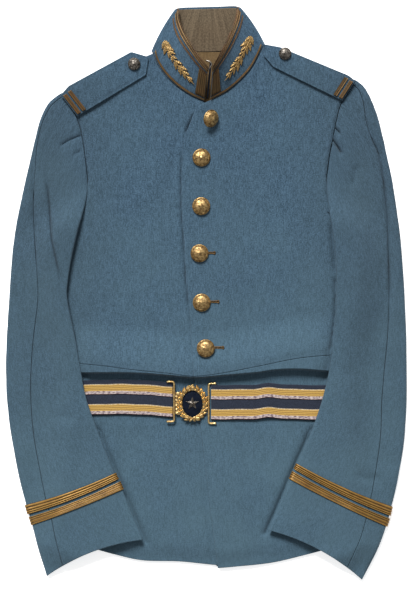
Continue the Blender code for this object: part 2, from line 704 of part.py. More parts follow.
def build_collar(face):
    """Outer collar, its lining, and the bands sewn round it."""
    everywhere = [float(place) for place in range(face.count)]
    heights = (0.0, 0.25, 0.5, 0.75, 1.0)
    layers = (("collar", 0.0, COLLAR_WALL, "wool"),
              ("collar_lining", COLLAR_WALL + 0.3, LINING_WALL, "lining"))
    for name, depth, thick, paint in layers:
        grids = [[[face.point(place, share, -level) for share in heights] for place in everywhere]
                 for level in (depth, depth + thick)]
        wall(name, *grids, paint)
    for band in COLLAR_BANDS:
        grids = [[[face.point(place, share, level) for share in (band.low, band.high)]
                  for place in everywhere]
                 for level in (COLLAR_BRAID_GAP + band.wall, COLLAR_BRAID_GAP)]
        wall(band.name, *grids, band.tint)
    last = face.count - 1
    ends = {"right": (0.0, END_BRAID_ROWS), "left": (last, last - END_BRAID_ROWS)}
    for side, (start, end) in ends.items():
        grids = [[[face.point(place, share, level) for share in END_BRAID_SHARES]
                  for place in (start, (start + end) / 2, end)]
                 for level in (COLLAR_BRAID_GAP + BRAID_WALL, COLLAR_BRAID_GAP)]
        wall(f"collar_end_braid_{side}", *grids, "braid")


def build_sprays(face):
    """A raised bullion leaf spray on each collar half, its edges cut into leaf tips."""
    last = face.count - 1
    for side in SIDES:
        outside, inside = [], []
        steps = SPRAY_LEAVES * 2
        for step in range(steps + 1):
            t = step / steps
            along = (SPRAY_START[0] + (SPRAY_END[0] - SPRAY_START[0]) * t) * (ARM_ROWS - 1)
            place = along if side == "right" else last - along
            middle = SPRAY_START[1] + (SPRAY_END[1] - SPRAY_START[1]) * t
            tooth = 1.0 if step % 2 else 0.55
            share = SPRAY_HALF_SHARE * tooth * math.sin(math.pi * (0.1 + t * 0.82)) ** 0.7
            rises = (SPRAY_EDGE, SPRAY_RISE, SPRAY_EDGE)
            spread = (-share, 0.0, share)
            outside.append([face.point(place, middle + offset, SPRAY_GAP + rise)
                            for offset, rise in zip(spread, rises)])
            inside.append([face.point(place, middle + offset, SPRAY_GAP) for offset in spread])
        wall(f"leaf_spray_{side}", outside, inside, "bullion")


def build_neck_lining():
    """Lining of the back below the neck seam, seen through the collar."""
    low = np.array([[(x, y, BODY_WALL + SEAM_GAP) for x in np.linspace(*NECK_LINING_X, 5)]
                    for y in NECK_LINING_ROWS])
    wall("back_neck_lining", low + (0, 0, LINING_WALL), low, "neck_lining")


def build_belt():
    """Belt backing and its two brocade stripes, from one buckle bar round to the other."""
    def front_level(x):
        return BELT_LEVEL + LAP_RAISE * fade(x, 36, 82)

    low = BELT_UNDER_LEVEL + BELT_WALL
    middle, radius = (BELT_LEVEL + low) / 2, (BELT_LEVEL - low) / 2
    path = [(x, front_level(x), 0, 1) for x in np.linspace(BUCKLE_GAP_LEFT, BELT_LEFT_TURN, 12)]
    for angle in (60, 30, 0, -30, -60):
        cos, sin = math.cos(math.radians(angle)), math.sin(math.radians(angle))
        path.append((BELT_LEFT_TURN + radius * cos, middle + radius * sin, cos, sin))
    path += [(x, low, 0, -1) for x in np.linspace(BELT_LEFT_TURN, BELT_RIGHT_TURN, 6)]
    for angle in (-60, -30, 0, 30, 60):
        cos, sin = math.cos(math.radians(angle)), math.sin(math.radians(angle))
        path.append((BELT_RIGHT_TURN - radius * cos, middle + radius * sin, -cos, sin))
    path += [(x, BELT_LEVEL, 0, 1) for x in np.linspace(BELT_RIGHT_TURN, BUCKLE_GAP_RIGHT, 9)]

    def belt_grid(offset, low_edge, high_edge):
        rows = []
        for x, z, out_x, out_z in path:
            centre = across(BELT if out_z >= 0 else (BELT[0], BELT[-1]), x)
            rows.append([(x + out_x * offset, centre + edge, z + out_z * offset)
                         for edge in (low_edge, high_edge)])
        return rows

    half = BELT_WIDTH / 2
    wall("belt_backing", belt_grid(BELT_WALL, -half, half), belt_grid(0, -half, half), "belt")
    for name, centre in (("upper", STRIPE_PITCH / 2), ("lower", -STRIPE_PITCH / 2)):
        edges = [centre - STRIPE_DROP + edge * STRIPE_WIDTH / 2 for edge in (-1, 1)]
        outside = belt_grid(BELT_WALL + 0.3 + STRIPE_WALL, *edges)
        wall(f"belt_stripe_{name}", outside, belt_grid(BELT_WALL + 0.3, *edges), "brocade")


def prism(name, outline, floor, top, paint, slope=0.0):
    """A flat piece with a straight rim; floor and top may be functions of x and y."""
    def level(value, x, y):
        return value(x, y) if callable(value) else value

    count = len(outline)
    centre = np.mean(np.asarray(outline, float), axis=0)
    points = [(x, y, level(floor, x, y)) for x, y in outline]
    for x, y in outline:
        reach = max(1e-6, math.hypot(x - centre[0], y - centre[1]))
        shrink = 1 - slope / reach
        inner_x = centre[0] + (x - centre[0]) * shrink
        inner_y = centre[1] + (y - centre[1]) * shrink
        points.append((inner_x, inner_y, level(top, inner_x, inner_y)))
    faces = [tuple(range(count))[::-1], tuple(range(count, 2 * count))]
    faces += [(i, (i + 1) % count, count + (i + 1) % count, count + i) for i in range(count)]
    return add_object(name, points, faces, paint, smooth_angle=25)


def strap_level(side, extra):
    """Height of a layer over a strap: it tilts up towards the sleeve."""
    def level(x, _y):
        out = 1 - fade(abs(x), 85, 190)
        return STRAP_FLOOR["inner"] + (STRAP_FLOOR["outer"] - STRAP_FLOOR["inner"]) * out + extra
    return level


def build_strap(side):
    """Shoulder strap with its two gold bars."""
    prism(f"shoulder_strap_{side}", STRAPS[side], strap_level(side, 0),
          strap_level(side, STRAP_WALL), "wool", slope=0.8)
    low, high = (np.array(spot, float) for spot in STRAP_ENDS[side])
    across_strap = (high - low) / np.linalg.norm(high - low)
    outline = np.array(STRAPS[side], float)
    inward = outline[1] - outline[0]
    inward /= np.linalg.norm(inward)
    for number, start in enumerate((1.5, 9.5), 1):
        base = low + across_strap * 2.0
        tip = high - across_strap * (1.5 if number == 2 else 2.5)
        corners = [base + inward * start, base + inward * (start + 6),
                   tip + inward * (start + 6), tip + inward * start]
        corners = [tuple(corner) for corner in corners]
        prism(f"strap_bar_{side}_{number}", corners, strap_level(side, STRAP_WALL + 0.3),
              strap_level(side, STRAP_WALL + 1.1), "braid")


def build_button(name, x, y, floor, diameter, height, paint, tilt=0.0, segments=16):
    """A turned dome button with a rolled rim, its flat back on the cloth."""
    radius = diameter / 2
    profile = [(radius * 0.90, 0.0), (radius, height * 0.14), (radius * 0.98, height * 0.30),
               (radius * 0.86, height * 0.40), (radius * 0.66, height * 0.72),
               (radius * 0.36, height * 0.93)]
    points = [(0.0, 0.0, 0.0)]
    for reach, level in profile:
        for step in range(segments):
            angle = 2 * math.pi * step / segments
            points.append((reach * math.cos(angle), reach * math.sin(angle), level))
    points.append((0.0, 0.0, height))
    faces = [(0, 1 + (step + 1) % segments, 1 + step) for step in range(segments)]
    for ring in range(len(profile) - 1):
        for step in range(segments):
            a = 1 + ring * segments + step
            b = 1 + ring * segments + (step + 1) % segments
            faces.append((a, b, b + segments, a + segments))
    last = 1 + (len(profile) - 1) * segments
    top = len(points) - 1
    faces += [(last + step, last + (step + 1) % segments, top) for step in range(segments)]
    obj = add_object(name, points, faces, paint, smooth_angle=60)
    obj.rotation_euler = (0.0, math.radians(tilt), 0.0)
    raise_edge = radius * 0.97 * math.sin(math.radians(abs(tilt)))
    obj.location = (x * MM, y * MM, (floor + raise_edge) * MM)
    return obj


def build_buttons():
    """Front buttons, and the small ones on the straps."""
    for button in FRONT_BUTTONS:
        rim = [(button.x + BUTTON_DIAMETER / 2 * math.cos(angle),
                button.y + BUTTON_DIAMETER / 2 * math.sin(angle)) for angle in range(7)]
        level = max(front_floor("left", x, y) for x, y in rim) + BODY_WALL + SEAM_GAP
        build_button(button.name, button.x, button.y, level, BUTTON_DIAMETER, BUTTON_HEIGHT,
                     "old_gilt", tilt=button.tilt)
    for side, spot in STRAP_BUTTONS.items():
        level = strap_level(side, STRAP_WALL + 0.5)(spot.x, spot.y)
        build_button(f"strap_button_{side}", spot.x, spot.y, level, STRAP_BUTTON_DIAMETER,
                     STRAP_BUTTON_HEIGHT, "silver", segments=14)


def rod(name, path, radius, paint, sides=8):
    """A round rod bent along a path, its ends closed."""
    path = np.asarray(path, float)
    rings = []
    for index, point in enumerate(path):
        before = path[index] - path[index - 1] if index else path[1] - path[0]
        after = path[index + 1] - path[index] if index < len(path) - 1 else before
        before, after = before / np.linalg.norm(before), after / np.linalg.norm(after)
        along = (before + after) / np.linalg.norm(before + after)
        stretch = 1 / max(0.5, float(np.dot(before, along)))
        side = np.cross(along, (0, 0, 1))
        side /= np.linalg.norm(side)
        up = np.cross(side, along)
        rings.append([point + side * radius * stretch * math.cos(2 * math.pi * step / sides)
                      + up * radius * math.sin(2 * math.pi * step / sides)
                      for step in range(sides)])
    points = [point for ring in rings for point in ring]
    faces = [tuple(range(sides))[::-1], tuple(range(len(points) - sides, len(points)))]
    for ring in range(len(rings) - 1):
        for step in range(sides):
            a, b = ring * sides + step, ring * sides + (step + 1) % sides
            faces.append((a, b, b + sides, a + sides))
    return add_object(name, points, faces, paint, smooth_angle=50)


def build_buckle():
    """Belt buckle: end bars with turned-out tips, flange, dark plate, leaf wreath and star."""
    floor = FRONT_FLOOR + LAP_RAISE + BODY_WALL + SEAM_GAP
    cx, cy = WREATH_CENTRE
    level = floor + BAR_DIAMETER / 2 + BRAID_GAP / 2
    for bar in BUCKLE_BARS:
        out = bar.x + SIDES[bar.side] * BAR_TIP
        rod(f"buckle_bar_{bar.side}", [(out, bar.high, level), (bar.x, bar.high, level),
                                       (bar.x, bar.low, level), (out, bar.low, level)],
            BAR_DIAMETER / 2, "gilt")
    plate_x, plate_y = WREATH_INNER[0] + 3, WREATH_INNER[1] + 2
    plate = [(cx + plate_x * math.cos(angle), cy + plate_y * math.sin(angle))
             for angle in np.linspace(0, 2 * math.pi, 24, endpoint=False)]
    prism("buckle_plate", plate, floor, floor + PLATE_THICKNESS, "enamel")
    near, far, half = FLANGE
    flange = [(cx + near, cy - half), (cx + far, cy - half), (cx + far, cy + half),
              (cx + near, cy + half)]
    prism("buckle_flange", flange, floor, floor + PLATE_THICKNESS, "gilt")
    bottom = PLATE_THICKNESS + SEAM_GAP
    outside, inside = [], []
    for step in range(WREATH_SEGMENTS):
        angle = 2 * math.pi * step / WREATH_SEGMENTS
        around = np.array((math.cos(angle), math.sin(angle)))
        leaf = (1.0 if step % 2 else 0.93) * (0.955 if abs(around[0]) > 0.9 else 1)
        outer, inner = around * WREATH_OUTER * leaf, around * WREATH_INNER
        places = [inner + (outer - inner) * share for share in (0.0, 0.5, 1.0)]
        outside.append([(cx + x, cy + y, floor + bottom + rise)
                        for (x, y), rise in zip(places, (0.4, 2.7, 0.4))])
        inside.append([(cx + x, cy + y, floor + bottom) for x, y in places])
    outside, inside = (np.array(grid).transpose(1, 0, 2) for grid in (outside, inside))
    wall("buckle_wreath", outside, inside, "gilt", ring=True)
    build_star(cx, cy, floor + bottom)


def build_star(cx, cy, floor):
    """A plain five-pointed star with raised ridges."""
    outline = []
    for step in range(10):
        reach = STAR_REACH[step % 2]
        angle = math.pi / 2 + step * math.pi / 5
        outline.append((cx + reach * math.cos(angle), cy + reach * math.sin(angle)))
    edge, peak = STAR_HEIGHTS
    points = [(x, y, floor) for x, y in outline] + [(x, y, floor + edge) for x, y in outline]
    points.append((cx, cy, floor + peak))
    faces = [tuple(range(10))[::-1]]
    faces += [(i, (i + 1) % 10, 10 + (i + 1) % 10, 10 + i) for i in range(10)]
    faces += [(10 + i, 10 + (i + 1) % 10, 20) for i in range(10)]
    add_object("buckle_star", points, faces, "silver", smooth_angle=10)


def build_hook(face):
    """The wire hook at the top of the collar's front opening."""
    right = face.point(0.0, 0.93, -COLLAR_WALL - 0.15)
    left = face.point(face.count - 1.0, 0.93, -COLLAR_WALL - 0.15)
    middle = (right + left) / 2
    span = left - right
    start, end = right + span * 0.2, left - span * 0.2
    lift = np.array((0, 0, 0.9))
    rod("collar_hook", [start, middle + lift + (0, 1.5, 0), end], 0.8, "silver", sides=6)


def main():
    """Clear the scene and build every piece."""
    for obj in list(bpy.data.objects):
        bpy.data.objects.remove(obj, do_unlink=True)
    build_back()
    build_neck_lining()
    for side in SIDES:
        build_front(side)
        build_skirt(side)
        build_sleeve(side)
        build_strap(side)
    face = CollarFace()
    build_collar(face)
    build_sprays(face)
    build_hook(face)
    build_buttons()
    build_belt()
    build_buckle()


main()
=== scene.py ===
"""Dress tunic laid flat on its back with its belt: the cloth, braid and metal over the frame.

Sizes in the tables are in millimetres, in the frame's own axes: +Y from hem to collar, +X to the
wearer's left, +Z up. Meshes are made in metres.
"""

import logging
from collections.abc import Callable, Sequence
from dataclasses import dataclass
from enum import Enum
from math import atan2, cos, exp, pi, radians, sin, sqrt
from typing import ClassVar, NamedTuple

import bmesh
import bpy
import numpy as np
from mathutils import Matrix, Vector
from numpy.linalg import norm
from numpy.typing import NDArray


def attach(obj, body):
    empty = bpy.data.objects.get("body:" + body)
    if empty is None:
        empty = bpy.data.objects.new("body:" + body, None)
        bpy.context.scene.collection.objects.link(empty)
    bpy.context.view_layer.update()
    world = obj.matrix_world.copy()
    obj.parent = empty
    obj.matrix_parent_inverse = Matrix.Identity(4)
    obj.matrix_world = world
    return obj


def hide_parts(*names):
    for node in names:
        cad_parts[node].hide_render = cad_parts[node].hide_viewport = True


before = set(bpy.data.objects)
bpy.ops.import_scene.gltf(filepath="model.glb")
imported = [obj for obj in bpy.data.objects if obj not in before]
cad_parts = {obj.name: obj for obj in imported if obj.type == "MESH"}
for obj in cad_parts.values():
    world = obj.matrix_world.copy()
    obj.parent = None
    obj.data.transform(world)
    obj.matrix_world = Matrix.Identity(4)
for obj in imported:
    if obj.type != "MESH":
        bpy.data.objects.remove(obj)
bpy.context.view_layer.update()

Array = NDArray[np.float64]
Spots = tuple[tuple[float, ...], ...]
Pair = tuple[float, float]
Triple = tuple[float, float, float]
Colour = tuple[int, int, int]
Faces = list[tuple[int, ...]]
Object = bpy.types.Object
Socket = bpy.types.NodeSocket
Layer = Callable[[Array, Array, Array], Array]

LOG = logging.getLogger("tunic")
MM = 0.001
BODY = "root"
UV_NAME = "cloth"
PIECE = "_piece"

SEAM_GAP = 0.4
BODY_WALL = 2.0
CLOTH = 1.8
FAR = 1000.0
RIM_PLACES = (0.0, 0.3, 0.8, 1.5, 3.0)


class Side(Enum):
    """The wearer's sides; the value is the sign of X."""

    RIGHT = -1
    LEFT = 1

    @property
    def word(self) -> str:
        """The side's name as the nodes spell it."""
        return self.name.lower()


class Slot(Enum):
    """Material slots of the record."""

    WOOL = "wool"
    LINING = "lining"
    NECK_LINING = "neck_lining"
    BRAID = "braid"
    BRAID_DARK = "braid_dark"
    BULLION = "bullion"
    BELT = "belt"
    BROCADE = "brocade"
    GILT = "gilt"
    OLD_GILT = "old_gilt"
    SILVER = "silver"
    ENAMEL = "enamel"


# Numbers and curves


def fade(value: Array | float, start: float | Array, end: float | Array) -> Array:
    """1 at start and before, 0 at end and past it, with smooth ends."""
    t = np.clip((end - value) / (end - start), 0.0, 1.0)
    return t * t * (3.0 - 2.0 * t)


def ramp(value: Array | float, start: float | Array, end: float | Array) -> Array:
    """1 at start and before, 0 at end and past it, straight between."""
    return np.clip((end - value) / (end - start), 0.0, 1.0)


def smooth_rows(rows: Sequence | Array, count: int) -> Array:
    """Evenly numbered rows of a smooth curve or surface through the given rows.

    Args:
        rows: Points, or rows of points, along the first axis.
        count: How many rows to return.

    Returns:
        The rows, with the first and the last kept.
    """
    knots = np.asarray(rows, float)
    padded = np.concatenate([2 * knots[:1] - knots[1:2], knots, 2 * knots[-1:] - knots[-2:-1]])
    places = np.linspace(0, len(knots) - 1, count)
    first = np.minimum(places.astype(int), len(knots) - 2)
    t = (places - first).reshape((-1,) + (1,) * (knots.ndim - 1))
    a, b, c, d = (padded[first + step] for step in range(4))
    return 0.5 * (2 * b + (c - a) * t + (2 * a - 5 * b + 4 * c - d) * t ** 2
        + (3 * b - a - 3 * c + d) * t ** 3)


def unit(vectors: Array) -> Array:
    """Vectors at length 1."""
    return vectors / norm(vectors, axis=-1, keepdims=True)


def run_lengths(rows: Array) -> Array:
    """Length from the first row of points to each row."""
    steps = norm(np.diff(rows, axis=0), axis=-1)
    return np.concatenate([np.zeros_like(steps[:1]), np.cumsum(steps, axis=0)])


def read_rows(places: Array, knots: Array, rows: Array) -> Array:
    """Rows of values at places, where the given rows stand at knots."""
    return np.stack([np.interp(places, knots, column) for column in rows.T], axis=-1)


def moved_sideways(line: Array, distance: float) -> Array:
    """A flat line moved to the left of its direction, or to the right if distance is negative."""
    along = unit(np.gradient(line, axis=0))
    return line + distance * np.stack([-along[:, 1], along[:, 0]], axis=1)


def along_spots(spots: Spots, count: int) -> Array:
    """Evenly spaced points along straight runs between spots."""
    line = np.asarray(spots, float)
    lengths = run_lengths(line)
    return read_rows(np.linspace(0, lengths[-1], count), lengths, line)


def paired(first: Array, second: Array) -> Array:
    """Two arrays spread to one shape, as pairs in the last axis."""
    return np.stack(np.broadcast_arrays(first, second), axis=-1)


def from_rim(rows: Array, columns: Array) -> Array:
    """Distance from the nearest border on a grid of places down and across."""
    down, over = (np.minimum(line - line[0], line[-1] - line) for line in (rows, columns))
    return np.minimum(down[:, None], over[None])


def cord_relief(cords: int, share: Array) -> Array:
    """Relief of cords side by side: 0 between two of them and 1 on top."""
    return np.sqrt(np.abs(np.sin(pi * cords * share)))


def rim_places(length: float, step: float, start: bool = True, end: bool = True) -> Array:
    """Places along a length in millimetres, close together at the ends with a rolled edge."""
    rim = np.array(RIM_PLACES)
    low, high = rim[-1] * start, length - rim[-1] * end
    middle = np.linspace(low, high, max(2, round((high - low) / step) + 1))
    return np.concatenate([rim[:-1] if start else [], middle, (length - rim[:-1])[::-1] if end
        else []])


def resample(lines: Array, step: float, breaks: Sequence[int] = ()) -> Array:
    """Lay out rows by length, lines being the second axis and the border distance kept up.

    Args:
        lines: Values with shape (rows, lines, values): x, y, distance from the border, others.
        step: Usual distance between rows, in millimetres.
        breaks: Rows that are kept, where the border has a corner.

    Returns:
        The new rows.
    """
    ends = [0, *breaks, len(lines) - 1]
    parts = []
    for number, (first, last) in enumerate(zip(ends[:-1], ends[1:])):
        start, end = number == 0, number == len(ends) - 2
        piece = lines[first:last + 1]
        lengths = run_lengths(piece[..., :2])
        usual = float(np.median(lengths[-1]))
        share = rim_places(usual, step, start, end) / usual
        made = np.empty((len(share), *lines.shape[1:]))
        for line in range(lines.shape[1]):
            at = share * lengths[-1, line]
            made[:, line] = read_rows(at, lengths[:, line], piece[:, line])
            if start:
                made[:, line, 2] = np.minimum(made[:, line, 2], at)
            if end:
                made[:, line, 2] = np.minimum(made[:, line, 2], lengths[-1, line] - at)
        parts.append(made if start else made[1:])
    return np.concatenate(parts)


def panel_between(first: Array, second: Array, step: float, breaks: Sequence[int] = (),
        lines: int = 30) -> Array:
    """A grid of x, y and border distance between two matching seam lines.

    Args:
        first: Points down one line.
        second: Matching points down the other.
        step: Usual distance between points, in millimetres.
        breaks: Rows of the lines that are kept.
        lines: How many straight lines are laid out first.

    Returns:
        The grid, with rows down the panel and columns from the first line to the second.
    """
    share = np.linspace(0, 1, lines)[None, :, None]
    flat = first[:, None] * (1 - share) + second[:, None] * share
    grid = np.concatenate([flat, np.full((*flat.shape[:2], 1), FAR)], axis=2)
    rows = resample(grid, step, breaks)
    return resample(rows.transpose(1, 0, 2), step).transpose(1, 0, 2)


class Line:
    """A smooth seam line in plan through a few spots."""

    def __init__(self, *spots: Pair) -> None:
        """Lay the curve through the spots."""
        self.spots = spots
        self.curve = smooth_rows(spots, 12 * len(spots))

    def points(self, count: int) -> Array:
        """Points along the curve, evenly numbered from spot to spot."""
        return smooth_rows(self.spots, count)

    def y_at(self, x: Array | float) -> Array:
        """Height of a line across the body at x."""
        order = np.argsort(self.curve[:, 0])
        return np.interp(x, self.curve[order, 0], self.curve[order, 1])

    def x_at(self, y: Array | float) -> Array:
        """Place of a line down the body at height y."""
        order = np.argsort(self.curve[:, 1])
        return np.interp(y, self.curve[order, 1], self.curve[order, 0])

    def meets(self, across: "Line") -> Pair:
        """Where this line down the body crosses a line across it."""
        x = self.spots[-1][0]
        for _ in range(8):
            x = float(self.x_at(across.y_at(x)))
        return x, float(across.y_at(x))


def edge_roll(distance: Array, thickness: float) -> Array:
    """How far a cloth's surface rolls down towards its middle near a border."""
    radius = thickness / 2
    near = radius - np.minimum(distance, radius)
    return radius - np.sqrt(np.maximum(radius ** 2 - near ** 2, 0.0))


# Meshes


def put_mesh(name: str, points: Array, faces: Faces, uv: Array | None = None,
        sharp: float = 60.0) -> Object:
    """Make an object from points in millimetres, its faces turned out.

    Args:
        name: The object's name.
        points: One point a row.
        faces: Corner numbers of each face.
        uv: Flat position of each point in millimetres, for the weave.
        sharp: Edges bent by more degrees than this stay sharp.

    Returns:
        The new object, linked into the scene.
    """
    mesh = bpy.data.meshes.new(name)
    mesh.from_pydata((np.asarray(points) * MM).tolist(), [], faces)
    if uv is not None:
        layer = mesh.uv_layers.new(name=UV_NAME)
        corner = np.zeros(len(mesh.loops), np.int64)
        mesh.loops.foreach_get("vertex_index", corner)
        layer.data.foreach_set("uv", (np.asarray(uv)[corner] * MM).ravel())
    build = bmesh.new()
    build.from_mesh(mesh)
    bmesh.ops.recalc_face_normals(build, faces=build.faces)
    build.to_mesh(mesh)
    build.free()
    mesh.shade_smooth()
    mesh.set_sharp_from_angle(angle=radians(sharp))
    return put_object(name + PIECE, mesh)


def put_object(name: str, data: bpy.types.ID) -> Object:
    """Make an object of data and link it into the scene."""
    made = bpy.data.objects.new(name, data)
    bpy.context.scene.collection.objects.link(made)
    return made


def grid_faces(rows: int, columns: int, ring: bool) -> list[tuple[int, int, int, int]]:
    """Four-cornered faces of a grid of points, joined round in columns if ring."""
    spans = columns if ring else columns - 1
    return [(row * columns + column, row * columns + (column + 1) % columns, (row + 1) * columns
        + (column + 1) % columns, (row + 1) * columns + column) for row in range(rows - 1)
        for column in range(spans)]


def ring_faces(rings: int, sides: int) -> Faces:
    """Faces of rings of points joined one to the next and closed at both ends."""
    last = (rings - 1) * sides
    return [*grid_faces(rings, sides, True), tuple(range(sides)), tuple(range(last, last + sides))]


def surface_normals(grid: Array, ring: bool) -> Array:
    """Unit normals of a grid of points, by the cross product of its two directions."""
    if ring:
        around = np.roll(grid, -1, axis=1) - np.roll(grid, 1, axis=1)
    else:
        around = np.gradient(grid, axis=1)
    normal = np.cross(around, np.gradient(grid, axis=0))
    length = norm(normal, axis=2, keepdims=True)
    return normal / np.maximum(length, 1e-9)


def shell(name: str, outer: Array, edge: Array, thickness: float, uv: Array,
        inside: Array | None = None, ring: bool = False) -> Object:
    """A closed sheet of cloth with rolled borders.

    Args:
        name: The object's name.
        outer: Grid of points of the outer face.
        edge: Each point's distance from the nearest border.
        thickness: The cloth's thickness.
        uv: Flat position of each point of the grid, for the weave.
        inside: Place or places that the outer face looks away from; without it, it looks up.
        ring: Whether the last column joins the first.

    Returns:
        The new object.
    """
    rows, columns = outer.shape[:2]
    normal = surface_normals(outer, ring)
    out = (0.0, 0.0, 1.0) if inside is None else outer - inside
    normal = normal * (1.0 if float(np.sum(normal * out)) > 0 else -1.0)
    roll = edge_roll(edge, thickness)[..., None]
    top = outer - normal * roll
    bottom = outer - normal * (thickness - roll)
    border = np.zeros((rows, columns), bool)
    border[[0, -1], :] = True
    if not ring:
        border[:, [0, -1]] = True
    number = np.arange(rows * columns)
    under = np.where(border.ravel(), number, 0)
    free = np.flatnonzero(~border.ravel())
    under[free] = rows * columns + np.arange(len(free))
    points = np.concatenate([top.reshape(-1, 3), bottom.reshape(-1, 3)[free]])
    flat = uv.reshape(-1, 2)
    faces = grid_faces(rows, columns, ring)
    faces += [tuple(int(under[corner]) for corner in face[::-1]) for face in faces]
    return put_mesh(name, points, faces, np.concatenate([flat, flat[free]]))


def tube(name: str, path: Array, radius: Array | float, sides: int = 12) -> Object:
    """A round wire or rod along a path, its ends rounded off.

    Args:
        name: The object's name.
        path: Points of the centre line.
        radius: The radius, one number or one for each point.
        sides: How many sides the section has.

    Returns:
        The new object.
    """
    path = np.asarray(path, float)
    radius = np.broadcast_to(radius, len(path)).astype(float)
    along = unit(np.gradient(path, axis=0))
    aside = np.cross(along, (0.0, 0.0, 1.0))
    aside[norm(aside, axis=1) < 0.05] = (1.0, 0.0, 0.0)
    aside = unit(aside)
    above = np.cross(aside, along)
    caps = (0.0, 0.55, 0.85)
    centres = [path[0] + along[0] * radius[0] * (cap - 1) for cap in caps]
    centres += list(path) + [path[-1] - along[-1] * radius[-1] * (cap - 1) for cap in caps[::-1]]
    shares = [sqrt(1 - (1 - cap) ** 2) + 1e-3 for cap in caps]
    radii = [radius[0] * share for share in shares] + list(radius)
    radii += [radius[-1] * share for share in shares[::-1]]
    count = len(caps)
    order = [0] * count + list(range(len(path))) + [len(path) - 1] * count
    angle = np.linspace(0, 2 * pi, sides, endpoint=False)
    rings = [centre + r * (aside[i] * np.cos(angle)[:, None] + above[i] * np.sin(angle)[:, None])
        for centre, r, i in zip(centres, radii, order)]
    flat = np.stack([np.repeat(np.arange(len(rings)) * 1.0, sides),
        np.tile(angle * radius.mean(), len(rings))], axis=1)
    return put_mesh(name, np.concatenate(rings), ring_faces(len(rings), sides), flat)


def slab(name: str, top: Array, bottom: Array, flat: Array) -> Object:
    """A closed body between two grids of points with shared places in plan.

    Args:
        name: The object's name.
        top: The upper grid.
        bottom: The lower grid.
        flat: Flat position of each point, in millimetres.

    Returns:
        The new object.
    """
    rows, columns = top.shape[:2]
    shift = rows * columns
    faces = grid_faces(rows, columns, False)
    faces += [tuple(corner + shift for corner in face[::-1]) for face in faces]
    ring = [*range(columns), *(row * columns + columns - 1 for row in range(1, rows)),
        *range(shift - 2, shift - columns - 1, -1),
        *(row * columns for row in range(rows - 2, 0, -1))]
    faces += [(a, b, b + shift, a + shift) for a, b in zip(ring, ring[1:] + ring[:1])]
    points = np.concatenate([top.reshape(-1, 3), bottom.reshape(-1, 3)])
    return put_mesh(name, points, faces, np.concatenate([flat.reshape(-1, 2)] * 2))


def bead(name: str, spot: Triple, radius: float) -> Object:
    """A small round bead."""
    sides, rings = 10, 6
    turn = np.linspace(-pi / 2, pi / 2, rings + 1)[1:-1, None]
    angle = np.linspace(0, 2 * pi, sides, endpoint=False)
    ball = np.stack(np.broadcast_arrays(np.cos(turn) * np.cos(angle), np.cos(turn) * np.sin(angle),
        np.sin(turn)), axis=2).reshape(-1, 3)
    points = np.array(spot) + radius * np.concatenate([[(0, 0, -1)], ball, [(0, 0, 1)]])
    faces: Faces = [tuple(corner + 1 for corner in face) for face in grid_faces(rings - 1, sides,
        True)]
    last = len(points) - 1
    for side in range(sides):
        beside = (side + 1) % sides
        faces += [(0, 1 + beside, 1 + side), (last, last - sides + side, last - sides + beside)]
    return put_mesh(name, points, faces)


def turned(name: str, rows: Array, centre: Pair = (0.0, 0.0), sides: int = 64) -> Object:
    """A closed body of oval rings.

    Args:
        name: The object's name.
        rows: Each ring's half width, half length and level.
        centre: The rings' middle in plan.
        sides: How many points a ring has.

    Returns:
        The new object.
    """
    angle = np.linspace(0, 2 * pi, sides, endpoint=False)
    wide, long, level = (rows[:, key, None] for key in range(3))
    flat = paired(centre[0] + wide * np.cos(angle), centre[1] + long * np.sin(angle))
    points = np.dstack([flat, np.broadcast_to(level, flat.shape[:2])])
    return put_mesh(name, points.reshape(-1, 3), ring_faces(len(rows), sides))


def star(centre: Pair, reaches: Array, low: Array, rim: Array, peak: float, foot: float,
        sharp: float) -> Object:
    """A plain five-pointed star with sloping faces.

    Args:
        centre: Its middle in plan.
        reaches: Distance of its ten corners from the middle.
        low: Level of each corner's foot.
        rim: Level of each corner.
        peak: Level of the middle.
        foot: Level of the middle of its back.
        sharp: Edges bent by more degrees than this stay sharp.

    Returns:
        The new object.
    """
    turns = pi / 2 + np.arange(10) * pi / 5
    flat = np.stack([centre[0] + reaches * np.cos(turns), centre[1] + reaches * np.sin(turns)], 1)
    points = np.concatenate([np.column_stack([flat, low]), np.column_stack([flat, rim]),
        [(*centre, peak), (*centre, foot)]])
    faces: Faces = []
    for i in range(10):
        beside = (i + 1) % 10
        faces += [(i, beside, 10 + beside, 10 + i), (10 + i, 10 + beside, 20), (i, beside, 21)]
    return put_mesh("star", points, faces, sharp=sharp)


def joined(name: str, pieces: list[Object]) -> Object:
    """Join objects that each sit at the origin into one."""
    build = bmesh.new()
    for piece in pieces:
        build.from_mesh(piece.data)
    first = pieces[0].data
    build.to_mesh(first)
    build.free()
    for piece in pieces[1:]:
        bpy.data.objects.remove(piece)
    pieces[0].name = name + PIECE
    return pieces[0]


# Shading


def linear(colour: Sequence[float]) -> tuple[float, float, float, float]:
    """A display colour from 0 to 255 as the linear colour that a shader takes."""
    part = np.asarray(colour, float) / 255
    value = np.where(part <= 0.04045, part / 12.92, ((part + 0.055) / 1.055) ** 2.4)
    return (float(value[0]), float(value[1]), float(value[2]), 1.0)


